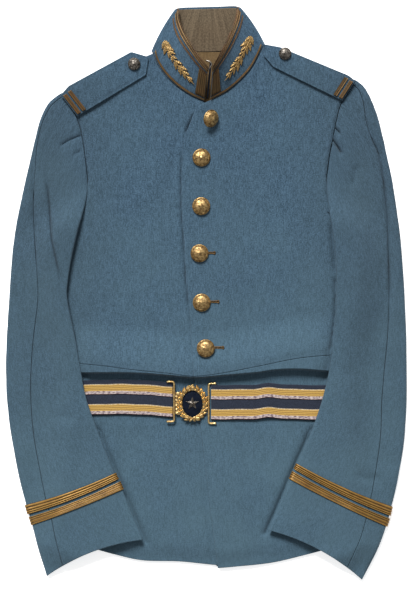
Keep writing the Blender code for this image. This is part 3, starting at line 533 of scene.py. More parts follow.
class Graph:
    """Short calls for laying out the nodes of one tree."""

    def __init__(self, tree: bpy.types.NodeTree) -> None:
        """Keep the tree that the nodes go to."""
        self.tree = tree

    def add(self, kind: str, *values: object, out: int | str = 0,
            named: dict[str, object] | None = None, **settings: object) -> Socket:
        """Add a node and return one of its outputs.

        Args:
            kind: The node's type name.
            values: Values or sockets for the inputs in order; None leaves one alone.
            out: The output to return.
            named: Values or sockets for inputs by name.
            settings: Properties of the node.

        Returns:
            The output socket.
        """
        node = self.tree.nodes.new(kind)
        for key, value in settings.items():
            setattr(node, key, value)
        pairs = [(node.inputs[i], value) for i, value in enumerate(values) if value is not None]
        pairs += [(node.inputs[key], value) for key, value in (named or {}).items()]
        for socket, value in pairs:
            if isinstance(value, Socket):
                self.link(value, socket)
            else:
                socket.default_value = value
        return node.outputs[out]

    def math(self, operation: str, *values: object) -> Socket:
        """A Math node."""
        return self.add("ShaderNodeMath", *values, operation=operation)

    def times(self, first: object, second: object) -> Socket:
        """A product."""
        return self.math("MULTIPLY", first, second)

    def plus(self, first: object, second: object, more: object) -> Socket:
        """A product with more added to it."""
        return self.math("MULTIPLY_ADD", first, second, more)

    def wave(self, turn: Socket) -> Socket:
        """The sine of an angle, moved to the range from 0 to 1."""
        return self.plus(self.math("SINE", turn), 0.5, 0.5)

    def noise(self, vector: Socket, scale: object, detail: float = 3.0,
            roughness: float = 0.5) -> Socket:
        """A noise texture's value."""
        return self.add("ShaderNodeTexNoise", named={"Vector": vector, "Scale": scale,
            "Detail": detail, "Roughness": roughness})

    def stretched(self, vector: Socket, scale: object) -> Socket:
        """A vector scaled by an amount for each direction."""
        return self.add("ShaderNodeVectorMath", vector, scale, operation="MULTIPLY")

    def blend(self, share: object, first: object, second: object) -> Socket:
        """Mix two colours."""
        unused = [None] * 5
        return self.add("ShaderNodeMix", share, *unused, first, second, out=2, data_type="RGBA")

    def link(self, value: Socket, socket: Socket) -> None:
        """Link an output to an input."""
        self.tree.links.new(value, socket)

    def parts(self, vector: Socket) -> Sequence[Socket]:
        """A vector's x, y and z."""
        node = self.tree.nodes.new("ShaderNodeSeparateXYZ")
        self.link(vector, node.inputs[0])
        return node.outputs

    def spread(self, value: object, low: float, high: float, to_low: float = 0.0,
            to_high: float = 1.0) -> Socket:
        """Map a range of values to another, clamped."""
        return self.add("ShaderNodeMapRange", value, low, high, to_low, to_high)


@dataclass(frozen=True)
class Effect:
    """A shader node group: its name, and its inputs and outputs by name."""

    name: str
    inputs: dict[str, float]
    outputs: tuple[str, ...]

    def start(self) -> tuple[Graph, dict[str, Socket], dict[str, Socket]]:
        """Make the empty group and return its graph, its given sockets and its results."""
        tree = bpy.data.node_groups.new(self.name, "ShaderNodeTree")
        tree.interface.new_socket("Vector", in_out="INPUT", socket_type="NodeSocketVector")
        for key, value in self.inputs.items():
            socket = tree.interface.new_socket(key, in_out="INPUT", socket_type="NodeSocketFloat")
            socket.default_value = value
        for key in self.outputs:
            tree.interface.new_socket(key, in_out="OUTPUT", socket_type="NodeSocketFloat")
        given, result = tree.nodes.new("NodeGroupInput"), tree.nodes.new("NodeGroupOutput")
        return Graph(tree), given.outputs, result.inputs


def place_effect(graph: Graph, name: str, vector: Socket, **values: float) -> bpy.types.Node:
    """Place a group in a material with its own values."""
    node = graph.tree.nodes.new("ShaderNodeGroup")
    node.node_tree = bpy.data.node_groups[name]
    graph.link(vector, node.inputs["Vector"])
    for key, value in values.items():
        node.inputs[key].default_value = value
    return node


def build_weave() -> None:
    """Cloth: streaky yarns along the piece, with fine twill lines."""
    graph, given, result = Effect("weave", {"Yarns": 520.0, "Streak": 0.16, "Slant": 1.0},
        ("Shade", "Height")).start()
    vector = given["Vector"]
    lengthwise = graph.add("ShaderNodeCombineXYZ", 1.0, given["Streak"], 1.0)
    along = graph.stretched(vector, lengthwise)
    yarn = graph.noise(along, given["Yarns"], 4.0, 0.65)
    fleck = graph.noise(vector, graph.times(given["Yarns"], 1.2), 3.0)
    slub = graph.noise(along, graph.times(given["Yarns"], 0.3), 2.0)
    rough = graph.plus(fleck, 0.42, graph.times(slub, 0.14))
    shade = graph.plus(yarn, 0.44, rough)
    x, y, _ = graph.parts(vector)
    run = graph.math("ADD", x, graph.times(y, given["Slant"]))
    turn = graph.times(run, graph.times(given["Yarns"], 12.0))
    twill = graph.wave(turn)
    height = graph.math("ADD", graph.times(twill, 0.45), shade)
    graph.link(shade, result["Shade"])
    graph.link(height, result["Height"])


def build_blotch() -> None:
    """Uneven colour at the scale of a hand: fading, dust and handling."""
    graph, given, result = Effect("blotch", {"Scale": 12.0, "Low": 0.35, "High": 0.65}, ("Mask",
        )).start()
    value = graph.noise(given["Vector"], given["Scale"], 4.0, 0.55)
    mask = graph.add("ShaderNodeMapRange", value, given["Low"], given["High"])
    graph.link(mask, result["Mask"])


def build_cords() -> None:
    """Metal braid: cords side by side, each a twist of fine threads."""
    graph, given, result = Effect("cords", {"Pitch": 1.5, "Twist": 0.9, "Lean": 0.6},
        ("Shade", "Height")).start()
    along, across, _ = graph.parts(given["Vector"])
    per_cord = graph.math("DIVIDE", across, graph.times(given["Pitch"], MM))
    cord = graph.math("ABSOLUTE", graph.math("SINE", graph.times(per_cord, pi)))
    leaned = graph.plus(across, given["Lean"], along)
    turns = graph.math("DIVIDE", leaned, graph.times(given["Twist"], MM))
    twist = graph.wave(graph.times(turns, 2 * pi))
    height = graph.plus(twist, 0.02, cord)
    own = graph.add("ShaderNodeCombineXYZ", graph.times(along, 50.0),
        graph.times(graph.math("FLOOR", per_cord), 7.31))
    streak = graph.spread(graph.noise(own, 1.0, 4.0, 0.6), 0.34, 0.66)
    shade = graph.plus(cord, 0.72, graph.times(streak, 0.28))
    graph.link(shade, result["Shade"])
    graph.link(height, result["Height"])


def build_tarnish() -> None:
    """Metal: rubbed and dull places."""
    graph, given, result = Effect("tarnish", {"Scale": 160.0}, ("Mask", "Height")).start()
    wide = graph.noise(given["Vector"], given["Scale"], 5.0, 0.6)
    fine = graph.noise(given["Vector"], graph.times(given["Scale"], 6.0), 3.0)
    mask = graph.spread(graph.math("ADD", graph.times(wide, 0.75), graph.times(fine, 0.25)), 0.38,
        0.62)
    graph.link(mask, result["Mask"])
    graph.link(fine, result["Height"])


class Material:
    """One material under way: its graph, its shader and its two coordinate sets."""

    def __init__(self, name: str, **shader_values: object) -> None:
        """Start a material and set the shader's fixed values.

        Args:
            name: The material's name.
            shader_values: Values for the shader's sockets, spaces written as underscores.
        """
        self.made = bpy.data.materials.new(name)
        self.made.use_nodes = True
        self.graph = Graph(self.made.node_tree)
        self.shader = self.made.node_tree.nodes["Principled BSDF"]
        for key, value in shader_values.items():
            self.shader.inputs[key.replace("_", " ")].default_value = value
        self.flat = self.graph.add("ShaderNodeUVMap", uv_map=UV_NAME)
        self.solid = self.graph.add("ShaderNodeTexCoord", out="Object")

    def feed(self, socket: str, value: Socket) -> None:
        """Link a value to a socket of the shader."""
        self.graph.link(value, self.shader.inputs[socket])

    def bump(self, height: Socket, depth: float) -> None:
        """Bump the surface by a height, its depth in millimetres."""
        self.feed("Normal", self.graph.add("ShaderNodeBump", out="Normal",
            named={"Height": height, "Distance": depth * MM, "Strength": 1.0}))

    def along_body(self, start: float, end: float) -> Socket:
        """0 at one height along the body in metres and 1 at another."""
        height = self.graph.add("ShaderNodeSeparateXYZ", self.solid, out=1)
        return self.graph.spread(height, start, end)

    def near_middle(self, start: float, end: float) -> Socket:
        """0 at one distance in metres to the left or right of the middle and 1 at another."""
        aside = self.graph.add("ShaderNodeSeparateXYZ", self.solid, out=0)
        return self.graph.spread(self.graph.math("ABSOLUTE", aside), start, end)


@dataclass(frozen=True)
class ClothFinish:
    """Woven cloth: its dark, light and worn colours, and its weave; the worn colour also serves as
    painted light towards the hem, and a painted shade colour darkens the sides towards the top.
    """

    name: str
    dark: Colour
    light: Colour
    # Worn colour: random worn patches, and also painted light towards the hem
    worn: Colour
    yarns: float = 520.0
    streak: float = 0.16
    slant: float = 1.0
    worn_share: float = 0.35
    # Painted light: how much of the worn colour is laid on towards the hem, and between which
    # heights
    faded: float = 0.0
    fade_along: Pair = (0.32, -0.3)
    # Painted shade: its colour, how much of it is laid on, and where it grows across and up the
    # body
    soot: Colour = (50, 62, 66)
    sooty: float = 0.0
    soot_aside: Pair = (0.1, 0.21)
    soot_along: Pair = (-0.5, 0.12)
    depth: float = 0.22
    sheen: float = 0.25
    roughness: float = 0.92

    def material(self) -> bpy.types.Material:
        """Build the finish as a material."""
        mat = Material(self.name, Roughness=self.roughness, Sheen_Weight=self.sheen,
            Sheen_Roughness=0.5, Specular_IOR_Level=0.25)
        graph = mat.graph
        weave = place_effect(graph, "weave", mat.flat, Yarns=self.yarns, Streak=self.streak,
            Slant=self.slant)
        blotch = place_effect(graph, "blotch", mat.solid, Scale=11.0)
        shade = graph.spread(weave.outputs["Shade"], 0.4, 0.6)
        colour = graph.blend(shade, linear(self.dark), linear(self.light))
        share = graph.times(blotch.outputs["Mask"], self.worn_share)
        # Painted light: more of the worn colour towards the hem
        share = graph.plus(mat.along_body(*self.fade_along), self.faded, share)
        colour = graph.blend(share, colour, linear(self.worn))
        # Painted shade: darker towards the sides and the top
        share = graph.times(mat.near_middle(*self.soot_aside),
            mat.along_body(*self.soot_along))
        share = graph.times(share, self.sooty)
        mat.feed("Base Color", graph.blend(share, colour, linear(self.soot)))
        mat.bump(weave.outputs["Height"], self.depth)
        return mat.made


@dataclass(frozen=True)
class BraidFinish:
    """Flat metal braid made of cords."""

    name: str
    dark: Colour
    light: Colour
    glint: Colour
    aged: Colour
    aged_aside: Pair = (0.095, 0.085)
    aged_along: Pair = (0.0, 0.1)
    pitch: float = 1.5
    twist: float = 0.9
    lean: float = 0.6
    metallic: float = 0.55
    roughness: float = 0.48
    depth: float = 0.35

    def material(self) -> bpy.types.Material:
        """Build the finish as a material."""
        mat = Material(self.name, Metallic=self.metallic, Roughness=self.roughness)
        graph = mat.graph
        cords = place_effect(graph, "cords", mat.flat, Pitch=self.pitch, Twist=self.twist,
            Lean=self.lean)
        blotch = place_effect(graph, "blotch", mat.solid, Scale=55.0)
        shade = graph.spread(cords.outputs["Shade"], 0.15, 0.85)
        older = graph.math("MAXIMUM", mat.near_middle(*self.aged_aside),
            mat.along_body(*self.aged_along))
        light = graph.blend(older, linear(self.light), linear(self.aged))
        colour = graph.blend(shade, linear(self.dark), light)
        share = graph.times(blotch.outputs["Mask"], 0.2)
        mat.feed("Base Color", graph.blend(share, colour, linear(self.glint)))
        mat.bump(cords.outputs["Height"], self.depth)
        return mat.made


@dataclass(frozen=True)
class MetalFinish:
    """Stamped or cast metal with tarnish."""

    name: str
    bright: Colour
    dull: Colour
    roughness: float = 0.3
    scale: float = 160.0
    depth: float = 0.05

    def material(self) -> bpy.types.Material:
        """Build the finish as a material."""
        mat = Material(self.name, Metallic=1.0)
        graph = mat.graph
        tarnish = place_effect(graph, "tarnish", mat.solid, Scale=self.scale)
        mask = tarnish.outputs["Mask"]
        mat.feed("Base Color", graph.blend(mask, linear(self.bright), linear(self.dull)))
        mat.feed("Roughness", graph.spread(mask, 0.0, 1.0, self.roughness, self.roughness + 0.22))
        mat.bump(tarnish.outputs["Height"], self.depth)
        return mat.made


@dataclass(frozen=True)
class StripeFinish:
    """Belt brocade: bands of colour across the strip, with fine ribs along it."""

    name: str
    edge: Colour
    gold: Colour
    gold_dark: Colour
    pale: Colour
    lilac: Colour
    line: Colour
    starts: Triple = (0.7, 4.6, 12.9)
    soft: float = 0.25
    ragged: float = 1.0
    rib_pitch: float = 2.3

    def material(self) -> bpy.types.Material:
        """Build the finish as a material; across the strip runs from its lower edge."""
        mat = Material(self.name, Roughness=0.7, Sheen_Weight=0.2, Specular_IOR_Level=0.3)
        graph = mat.graph
        height = graph.parts(mat.flat)[1]
        uneven = graph.noise(graph.stretched(mat.flat, (420.0, 900.0, 1.0)), 1.0, 3.0)
        across = graph.plus(uneven, self.ragged * MM,
            graph.math("SUBTRACT", height, self.ragged / 2 * MM))
        rib = graph.wave(graph.times(height, 2 * pi / (self.rib_pitch * MM)))
        weft = graph.noise(graph.stretched(mat.flat, (1500.0, 500.0, 1.0)), 1.0, 3.0)
        gold = graph.blend(graph.spread(graph.plus(rib, 0.4, graph.times(weft, 0.6)), 0.2, 0.75),
            linear(self.gold_dark), linear(self.gold))
        worn = graph.noise(graph.stretched(mat.flat, (260.0, 700.0, 1.0)), 1.0, 3.0)
        pale = graph.blend(graph.spread(worn, 0.4, 0.56), linear(self.lilac), linear(self.pale))
        rim = graph.blend(graph.spread(weft, 0.35, 0.6), linear(self.gold_dark), linear(self.edge))

        def above(level: float) -> Socket:
            """1 above a level across the strip, with a soft edge."""
            return graph.spread(across, (level - self.soft) * MM, (level + self.soft) * MM)

        colour = graph.blend(above(self.starts[0]), linear(self.line), pale)
        for start, band in zip(self.starts[1:], (gold, rim)):
            colour = graph.blend(above(start), colour, band)
        mat.feed("Base Color", colour)
        mat.bump(graph.math("ADD", rib, weft), 0.22)
        return mat.made


# What both linings share
LINED = {"yarns": 420.0, "slant": 0.0, "depth": 0.12, "sheen": 0.1, "roughness": 0.75}
FINISHES: dict[Slot, ClothFinish | BraidFinish | MetalFinish | StripeFinish] = {
    # The wool has painted light towards the hem and painted shade on its upper sides
    Slot.WOOL: ClothFinish("wool twill", (34, 54, 70), (74, 100, 122), (74, 99, 110), streak=0.3,
        worn_share=0.2, faded=0.42, sooty=0.34, sheen=0.06),
    Slot.LINING: ClothFinish("collar lining", (70, 60, 46), (112, 98, 78), (84, 66, 46),
        streak=0.05, **LINED),
    Slot.NECK_LINING: ClothFinish("neck lining", (88, 68, 42), (114, 92, 60), (98, 80, 50),
        streak=0.4, **LINED),
    Slot.BRAID: BraidFinish("gold braid", (38, 26, 16), (152, 117, 57), (134, 84, 38),
        (100, 80, 48), pitch=3.0),
    Slot.BRAID_DARK: BraidFinish("dark cord", (46, 34, 24), (110, 86, 52), (100, 78, 50),
        (90, 66, 40), pitch=1.0),
    Slot.BULLION: BraidFinish("bullion thread", (50, 36, 22), (208, 172, 108), (150, 116, 68),
        (208, 172, 112), pitch=0.8, twist=0.7, lean=0.2, metallic=0.7, roughness=0.4, depth=0.3),
    Slot.BELT: ClothFinish("belt webbing", (24, 29, 40), (46, 52, 68), (36, 42, 54), yarns=700.0,
        streak=1.0, slant=0.0, depth=0.2, sheen=0.1),
    Slot.BROCADE: StripeFinish("belt brocade", (194, 180, 154), (200, 160, 80), (112, 84, 38),
        (186, 171, 166), (100, 82, 92), (84, 52, 44)),
    Slot.GILT: MetalFinish("bright gilt", (250, 222, 160), (160, 120, 64), roughness=0.28,
        scale=260.0, depth=0.1),
    Slot.OLD_GILT: MetalFinish("worn gilt", (212, 180, 124), (104, 78, 50), roughness=0.4,
        scale=300.0, depth=0.2),
    Slot.SILVER: MetalFinish("dull silver", (146, 139, 130), (40, 37, 35), roughness=0.36,
        scale=330.0, depth=0.16),
    Slot.ENAMEL: MetalFinish("dark enamel", (34, 40, 54), (22, 27, 38), roughness=0.45)}


class Workshop:
    """Keeps the materials and fastens each finished piece to the frame."""

    def __init__(self) -> None:
        """Build the shader groups and one material for each slot."""
        for build in (build_weave, build_blotch, build_cords, build_tarnish):
            build()
        self.materials = {slot: finish.material() for slot, finish in FINISHES.items()}
        self.count = 0

    def fasten(self, piece: Object, slot: Slot, stands_in: bool = True) -> Object:
        """Give a piece the material of its slot, and put it in place of the CAD node of its name.

        Args:
            piece: The finished object.
            slot: The record's slot for it.
            stands_in: Whether it replaces a CAD node.

        Returns:
            The piece.
        """
        piece.data.materials.clear()
        piece.data.materials.append(self.materials[slot])
        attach(piece, BODY)
        if stands_in:
            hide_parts(piece.name.removesuffix(PIECE))
        self.count += 1
        LOG.info("%s: %d faces, %s", piece.name, len(piece.data.polygons), slot.value)
        return piece

    def sheet(self, name: str, slot: Slot, grids: tuple[Array, Array, Array], wall: float,
            rests_on: list[str], inside: Array | None = None) -> None:
        """Args:
            name: The piece's name.
            slot: Its slot.
            grids: Its outer face, each point's distance from the border and its flat position.
            wall: Its thickness.
            rests_on: What it lies on.
            inside: Place or places that its outer face looks away from.
        """
        outer, edge, flat = grids
        piece = self.fasten(shell(name, outer, edge, wall, flat, inside), slot)
        self.declare(piece, outer, rests_on)

    @staticmethod
    def declare(piece: Object, surface: Array, rests_on: list[str],
            with_pieces: list[Object] | None = None) -> None:
        """Measure a piece's area, width and length on its outer face; nothing is done with them.

        Args:
            piece: The cloth; not used.
            surface: Its outer face as a grid in millimetres.
            rests_on: What it lies on; not used.
            with_pieces: Separate pieces sewn on it; not used.
        """
        down, over = np.diff(surface, axis=0), np.diff(surface, axis=1)
        area = norm(np.cross(down[:, :-1], over[:-1]), axis=2).sum() * MM * MM
        width = norm(over, axis=2).sum(axis=1).max() * MM
        length = norm(down, axis=2).sum(axis=0).max() * MM


# Folds


@dataclass(frozen=True)
class Crease:
    """A fold along a path: a ridge where lift is positive, a trough where it isn't.

    sharp is the share by which the cloth beside it is drawn in towards its line.
    """

    path: Spots
    lift: float
    width: float
    skew: float = 0.0
    open_start: bool = False
    open_end: bool = False
    sharp: float = 0.0

    def moves(self, x: Array, y: Array) -> Array:
        """How far each place is moved in x, y and z, in millimetres."""
        best = np.full(x.shape, 1e9)
        place, side = np.zeros(x.shape), np.zeros(x.shape)
        off = np.zeros((*x.shape, 2))
        line = smooth_rows(self.path, 6 * len(self.path))
        runs = np.diff(line, axis=0)
        lengths = norm(runs, axis=1)
        start = 0.0
        for (x0, y0), (dx, dy), length in zip(line[:-1], runs, lengths):
            t = np.clip(((x - x0) * dx + (y - y0) * dy) / length ** 2, 0, 1)
            away_x, away_y = x - x0 - dx * t, y - y0 - dy * t
            away = np.hypot(away_x, away_y)
            near = away < best
            best = np.where(near, away, best)
            off = np.where(near[..., None], np.stack([away_x, away_y], axis=-1), off)
            place = np.where(near, (start + t * length) / lengths.sum(), place)
            side = np.where(near, np.sign(dx * away_y - dy * away_x), side)
            start += length
        width = self.width * (1 + self.skew * side)
        begin = 1.0 if self.open_start else 1 - fade(place, 0.0, 0.3)
        end = 1.0 if self.open_end else fade(place, 0.7, 1.0)
        lift = self.lift * np.exp(-(best / width) ** 1.5) * begin * end
        pull = self.sharp * np.exp(-(best / (1.8 * width)) ** 2) * begin * end
        return np.concatenate([-off * pull[..., None], lift[..., None]], axis=-1)


@dataclass(frozen=True)
class Drape:
    """Everything that makes one piece of cloth uneven: its folds and a faint swell."""

    creases: tuple[Crease, ...] = ()
    swell: float = 0.35
    seed: int = 1

    def moves(self, x: Array, y: Array) -> Array:
        """How far each place is moved in x, y and z, in millimetres."""
        rng = np.random.default_rng(self.seed)
        total = np.zeros((*x.shape, 3))
        for _ in range(7):
            angle, length = rng.uniform(0, pi), rng.uniform(45, 150)
            phase, share = rng.uniform(0, 2 * pi), rng.uniform(0.4, 1.0)
            run = x * cos(angle) + y * sin(angle)
            total[..., 2] += share * np.sin(run * 2 * pi / length + phase)
        total *= self.swell / 2
        for crease in self.creases:
            total += crease.moves(x, y)
        return total


# The body's plan


@dataclass(frozen=True)
class HalfPlan:
    """Seam lines of one half of the body, and its rows below the armhole.

    A row gives its height at the front edge, its height at the side seam, and how far the side
    is pressed down onto the back.
    """

    armhole: Line
    neckline: Line
    collar_top: Spots
    side_edge: Line
    front_edge: Line
    hem: Line
    rows: Spots


RIGHT_HALF = HalfPlan(
    armhole=Line((-196, 272), (-184, 253), (-174, 233), (-168, 209), (-164, 181), (-161, 154)),
    neckline=Line((-71.5, 326), (-66, 311), (-55, 295), (-38, 279), (-19, 267), (-2, 260)),
    collar_top=((-38.5, 386, 12), (-36.5, 371, 16), (-30.5, 355, 22), (-21.5, 339, 29),
        (-9.5, 320, 35), (2.4, 304.5, 38)),
    side_edge=Line((-161.4, 154), (-162.2, 141), (-164.8, 126), (-169.5, 113), (-175, 104),
        (-182, 96), (-203, 85), (-216, 62), (-214, 24), (-206, -30), (-192, -82), (-190, -146),
        (-191, -176), (-199, -241), (-209, -340)),
    front_edge=Line((13, 252), (15, 235), (15, 120), (15, 0), (15, -113), (22, -176), (31, -240),
        (50, -376)),
    hem=Line((-209, -331), (-165, -344), (-124, -355.5), (-86, -363.5), (-36, -365), (15, -370),
        (50, -371)),
    rows=((252, 140, 0), (236, 112, 0), (205, 97, 0.4), (165, 85, 0.4), (120, 62, 0.5),
        (70, 24, 0.9), (10, -24, 1), (-45, -58, 0.8), (-76, -68, 0.4)))

LEFT_HALF = HalfPlan(
    armhole=Line((204, 289), (184, 258), (176.5, 233), (172, 210), (168, 190), (163.5, 158)),
    neckline=Line((77, 335), (70, 320), (60, 303), (46, 288), (27, 273), (4.5, 262)),
    collar_top=((43, 388, 12), (40, 373, 16), (34.5, 358, 22), (27.5, 341, 29), (18.5, 322, 35),
        (9.3, 304.5, 38)),
    side_edge=Line((164.1, 158), (164.6, 141), (166.2, 125), (171, 110), (180, 101), (205, 89),
        (218, 66), (216, 26), (208, -26), (194, -74), (192, -150), (192.5, -180), (201, -245),
        (210, -340)),
    front_edge=Line((-5, 257), (-14, 250), (-22, 231), (-30, 208), (-33, 185), (-33, 113),
        (-30, 72), (-28, 31), (-23, -23), (-17, -113), (-8.5, -176), (-1, -240), (9, -322),
        (16, -376)),
    hem=Line((16, -374), (39, -372), (87, -367), (127, -358), (170, -346), (210, -329)),
    rows=((257, 146, 0), (250, 116, 0), (231, 101, 0.4), (190, 89, 0.4), (130, 66, 0.5),
        (72, 26, 0.9), (10, -20, 1), (-45, -52, 0.8), (-76, -60, 0.4)))


@dataclass(frozen=True)
class BodyPlan:
    """The lines across the body and the heights of its layers."""

    halves: dict[Side, HalfPlan]
    waist: Line
    crest: Line
    belt: Line
    back_neck: Line
    carried: Line
    floor_level: float = 6.0
    lap_raise: float = 2.4
    waist_bulge: float = 12.5
    bulge_reach: Pair = (6.0, 60.0)
    crest_drop: float = 4.6
    edge_press: float = 3.6
    collar_back_floor: float = 1.6

    def bulge(self, side: Side, x: Array, y: Array) -> Array:
        """Rise of the fronts where the belt draws in the cloth below them."""
        seam, crest = self.waist.y_at(x), self.crest.y_at(x)
        near, far = self.bulge_reach
        rise = self.waist_bulge * fade(y, seam + near, seam + far)
        rise = rise * fade(-y, 1.5 - crest, self.crest_drop - crest)
        rise = rise * np.interp(np.abs(x), (158, 174, 188), (1, 0.45, 0))
        if side is Side.RIGHT:
            lap = self.halves[Side.LEFT].front_edge.x_at(y)
            rise = rise * fade(x, lap, lap + 15)
        return rise

    def floor(self, side: Side, x: Array, y: Array) -> Array:
        """Underside of a front at a place, before its edges are pressed down."""
        level = self.floor_level + self.bulge(side, x, y)
        if side is Side.LEFT:
            under = self.halves[Side.RIGHT].front_edge.x_at(y)
            level = level + self.lap_raise * ramp(x, under + 8, under + 46)
        return level

    def hem_y(self, x: Array) -> Array:
        """Height of the hem at x."""
        split = self.halves[Side.LEFT].hem.spots[0][0]
        return np.where(np.asarray(x) > split, self.halves[Side.LEFT].hem.y_at(x),
            self.halves[Side.RIGHT].hem.y_at(x))


PLAN = BodyPlan(
    halves={Side.RIGHT: RIGHT_HALF, Side.LEFT: LEFT_HALF},
    waist=Line((-192, -94), (-139, -99), (-102, -104), (-53, -109), (-17, -113), (20, -109),
        (68, -100), (129, -88), (192, -83)),
    crest=Line((-192, -106), (-102, -106), (-53, -109), (-17, -112), (20, -109.5), (68, -105.5),
        (92, -102), (129, -101), (192, -106)),
    belt=Line((-192, -145), (-131, -142.5), (-90, -143.5), (-46, -146.5), (6, -150), (60, -149.5),
        (88, -148), (128, -150), (192, -150.5)),
    back_neck=Line((-72.5, 325.4), (-65, 327.5), (-30, 329), (2, 328.8), (36, 331), (71, 335.5),
        (78, 334)),
    carried=Line((161, 156), (182, 130), (196, 112), (206, 97), (213, 82), (219, 60), (217, 24),
        (209, -30), (196, -80), (194, -180), (202, -245), (212, -340)))


FRONT_FOLDS = {
    Side.RIGHT: Drape((
        Crease(((-38, 240), (-37, 214), (-43, 186), (-50, 150), (-52, 100), (-46, 30)), -1.5, 9,
            skew=0.25),
        Crease(((-58, 236), (-62, 196), (-72, 150), (-76, 96)), 0.9, 15),
        Crease(((-158, 160), (-142, 120), (-133, 66), (-128, 6)), -1.2, 11),
        Crease(((-118, 190), (-106, 140), (-102, 84)), 0.7, 16),
        Crease(((-120, -98), (-112, -62), (-98, -26), (-90, 16)), -0.9, 9),
        Crease(((-70, -104), (-66, -70), (-58, -36)), -0.8, 7),
        Crease(((-160, -96), (-150, -60), (-146, -20)), -0.8, 9),
        Crease(((-112, -176), (-116, -224), (-122, -282), (-124, -340)), -1.3, 11, open_end=True),
        Crease(((-62, -178), (-60, -226), (-54, -270)), 0.9, 13),
        Crease(((-150, -182), (-158, -230), (-166, -290)), 1.0, 14),
        Crease(((-30, -184), (-24, -240), (-12, -310), (-6, -364)), -0.8, 10, open_end=True),
        Crease(((-171, -80), (-161, -140), (-147.8, -182), (-133.8, -218), (-113.8, -263),
            (-100.8, -296), (-82.8, -339)), -5.0, 4.6, open_end=True, sharp=0.35),
        Crease(((-154, -160), (-147, -184), (-139, -206)), -1.4, 8),
        Crease(((-22.8, 231), (-30.8, 208), (-33.8, 185), (-33.8, 113), (-30.8, 72), (-28.8, 31),
            (-23.8, -23), (-18.8, -84)), -3.4, 2.1, sharp=0.6),
        Crease(((-13, 247), (-17.5, 240), (-20, 234), (-24, 226), (-29, 213)), -5.5, 2.6,
            sharp=0.5),
        Crease(((-13, -176), (-5, -240), (5, -322), (10, -366)), -1.6, 4, open_end=True)),
            swell=0.5, seed=3),
    Side.LEFT: Drape((
        Crease(((32, 240), (36, 200), (40, 150)), -0.9, 11),
        Crease(((150, 214), (128, 196), (104, 184)), -0.9, 9),
        Crease(((160, 150), (146, 108), (138, 60), (136, 6)), -1.2, 11),
        Crease(((96, 226), (88, 170), (86, 110)), 0.8, 17),
        Crease(((28, -108), (30, -74), (36, -40), (38, -6)), -0.9, 8),
        Crease(((74, -98), (80, -60), (90, -24)), -1.0, 9),
        Crease(((128, -86), (130, -50), (126, -10)), -0.9, 9),
        Crease(((48, -180), (54, -236), (64, -300), (70, -362)), -1.2, 11, open_end=True),
        Crease(((106, -182), (112, -236), (116, -286)), 1.0, 15),
        Crease(((150, -184), (156, -240), (160, -300)), -1.1, 12),
        Crease(((10, -196), (14, -250), (22, -320)), 0.7, 9),
        Crease(((167, -80), (156.8, -142), (143.8, -181), (131.8, -210), (113.8, -249),
            (99.8, -283), (81, -326)), -5.0, 4.4, open_end=True, sharp=0.35),
        Crease(((175, 16), (175.5, -6), (174.7, -30), (171, -62), (167.5, -84)), -3.2, 3.2,
            open_start=True, open_end=True, sharp=0.4),
        Crease(((168.4, 98), (169.6, 92), (171.4, 78), (172.9, 62), (174.2, 48), (176, 22)), -9.0,
            2.6, sharp=0.5),
        Crease(((-14, 246), (-20, 231), (-28, 208), (-31, 185), (-31, 113), (-28, 72), (-26, 31),
            (-21, -23), (-15, -84)), 0.6, 5, open_start=True)), swell=0.5, seed=5)}


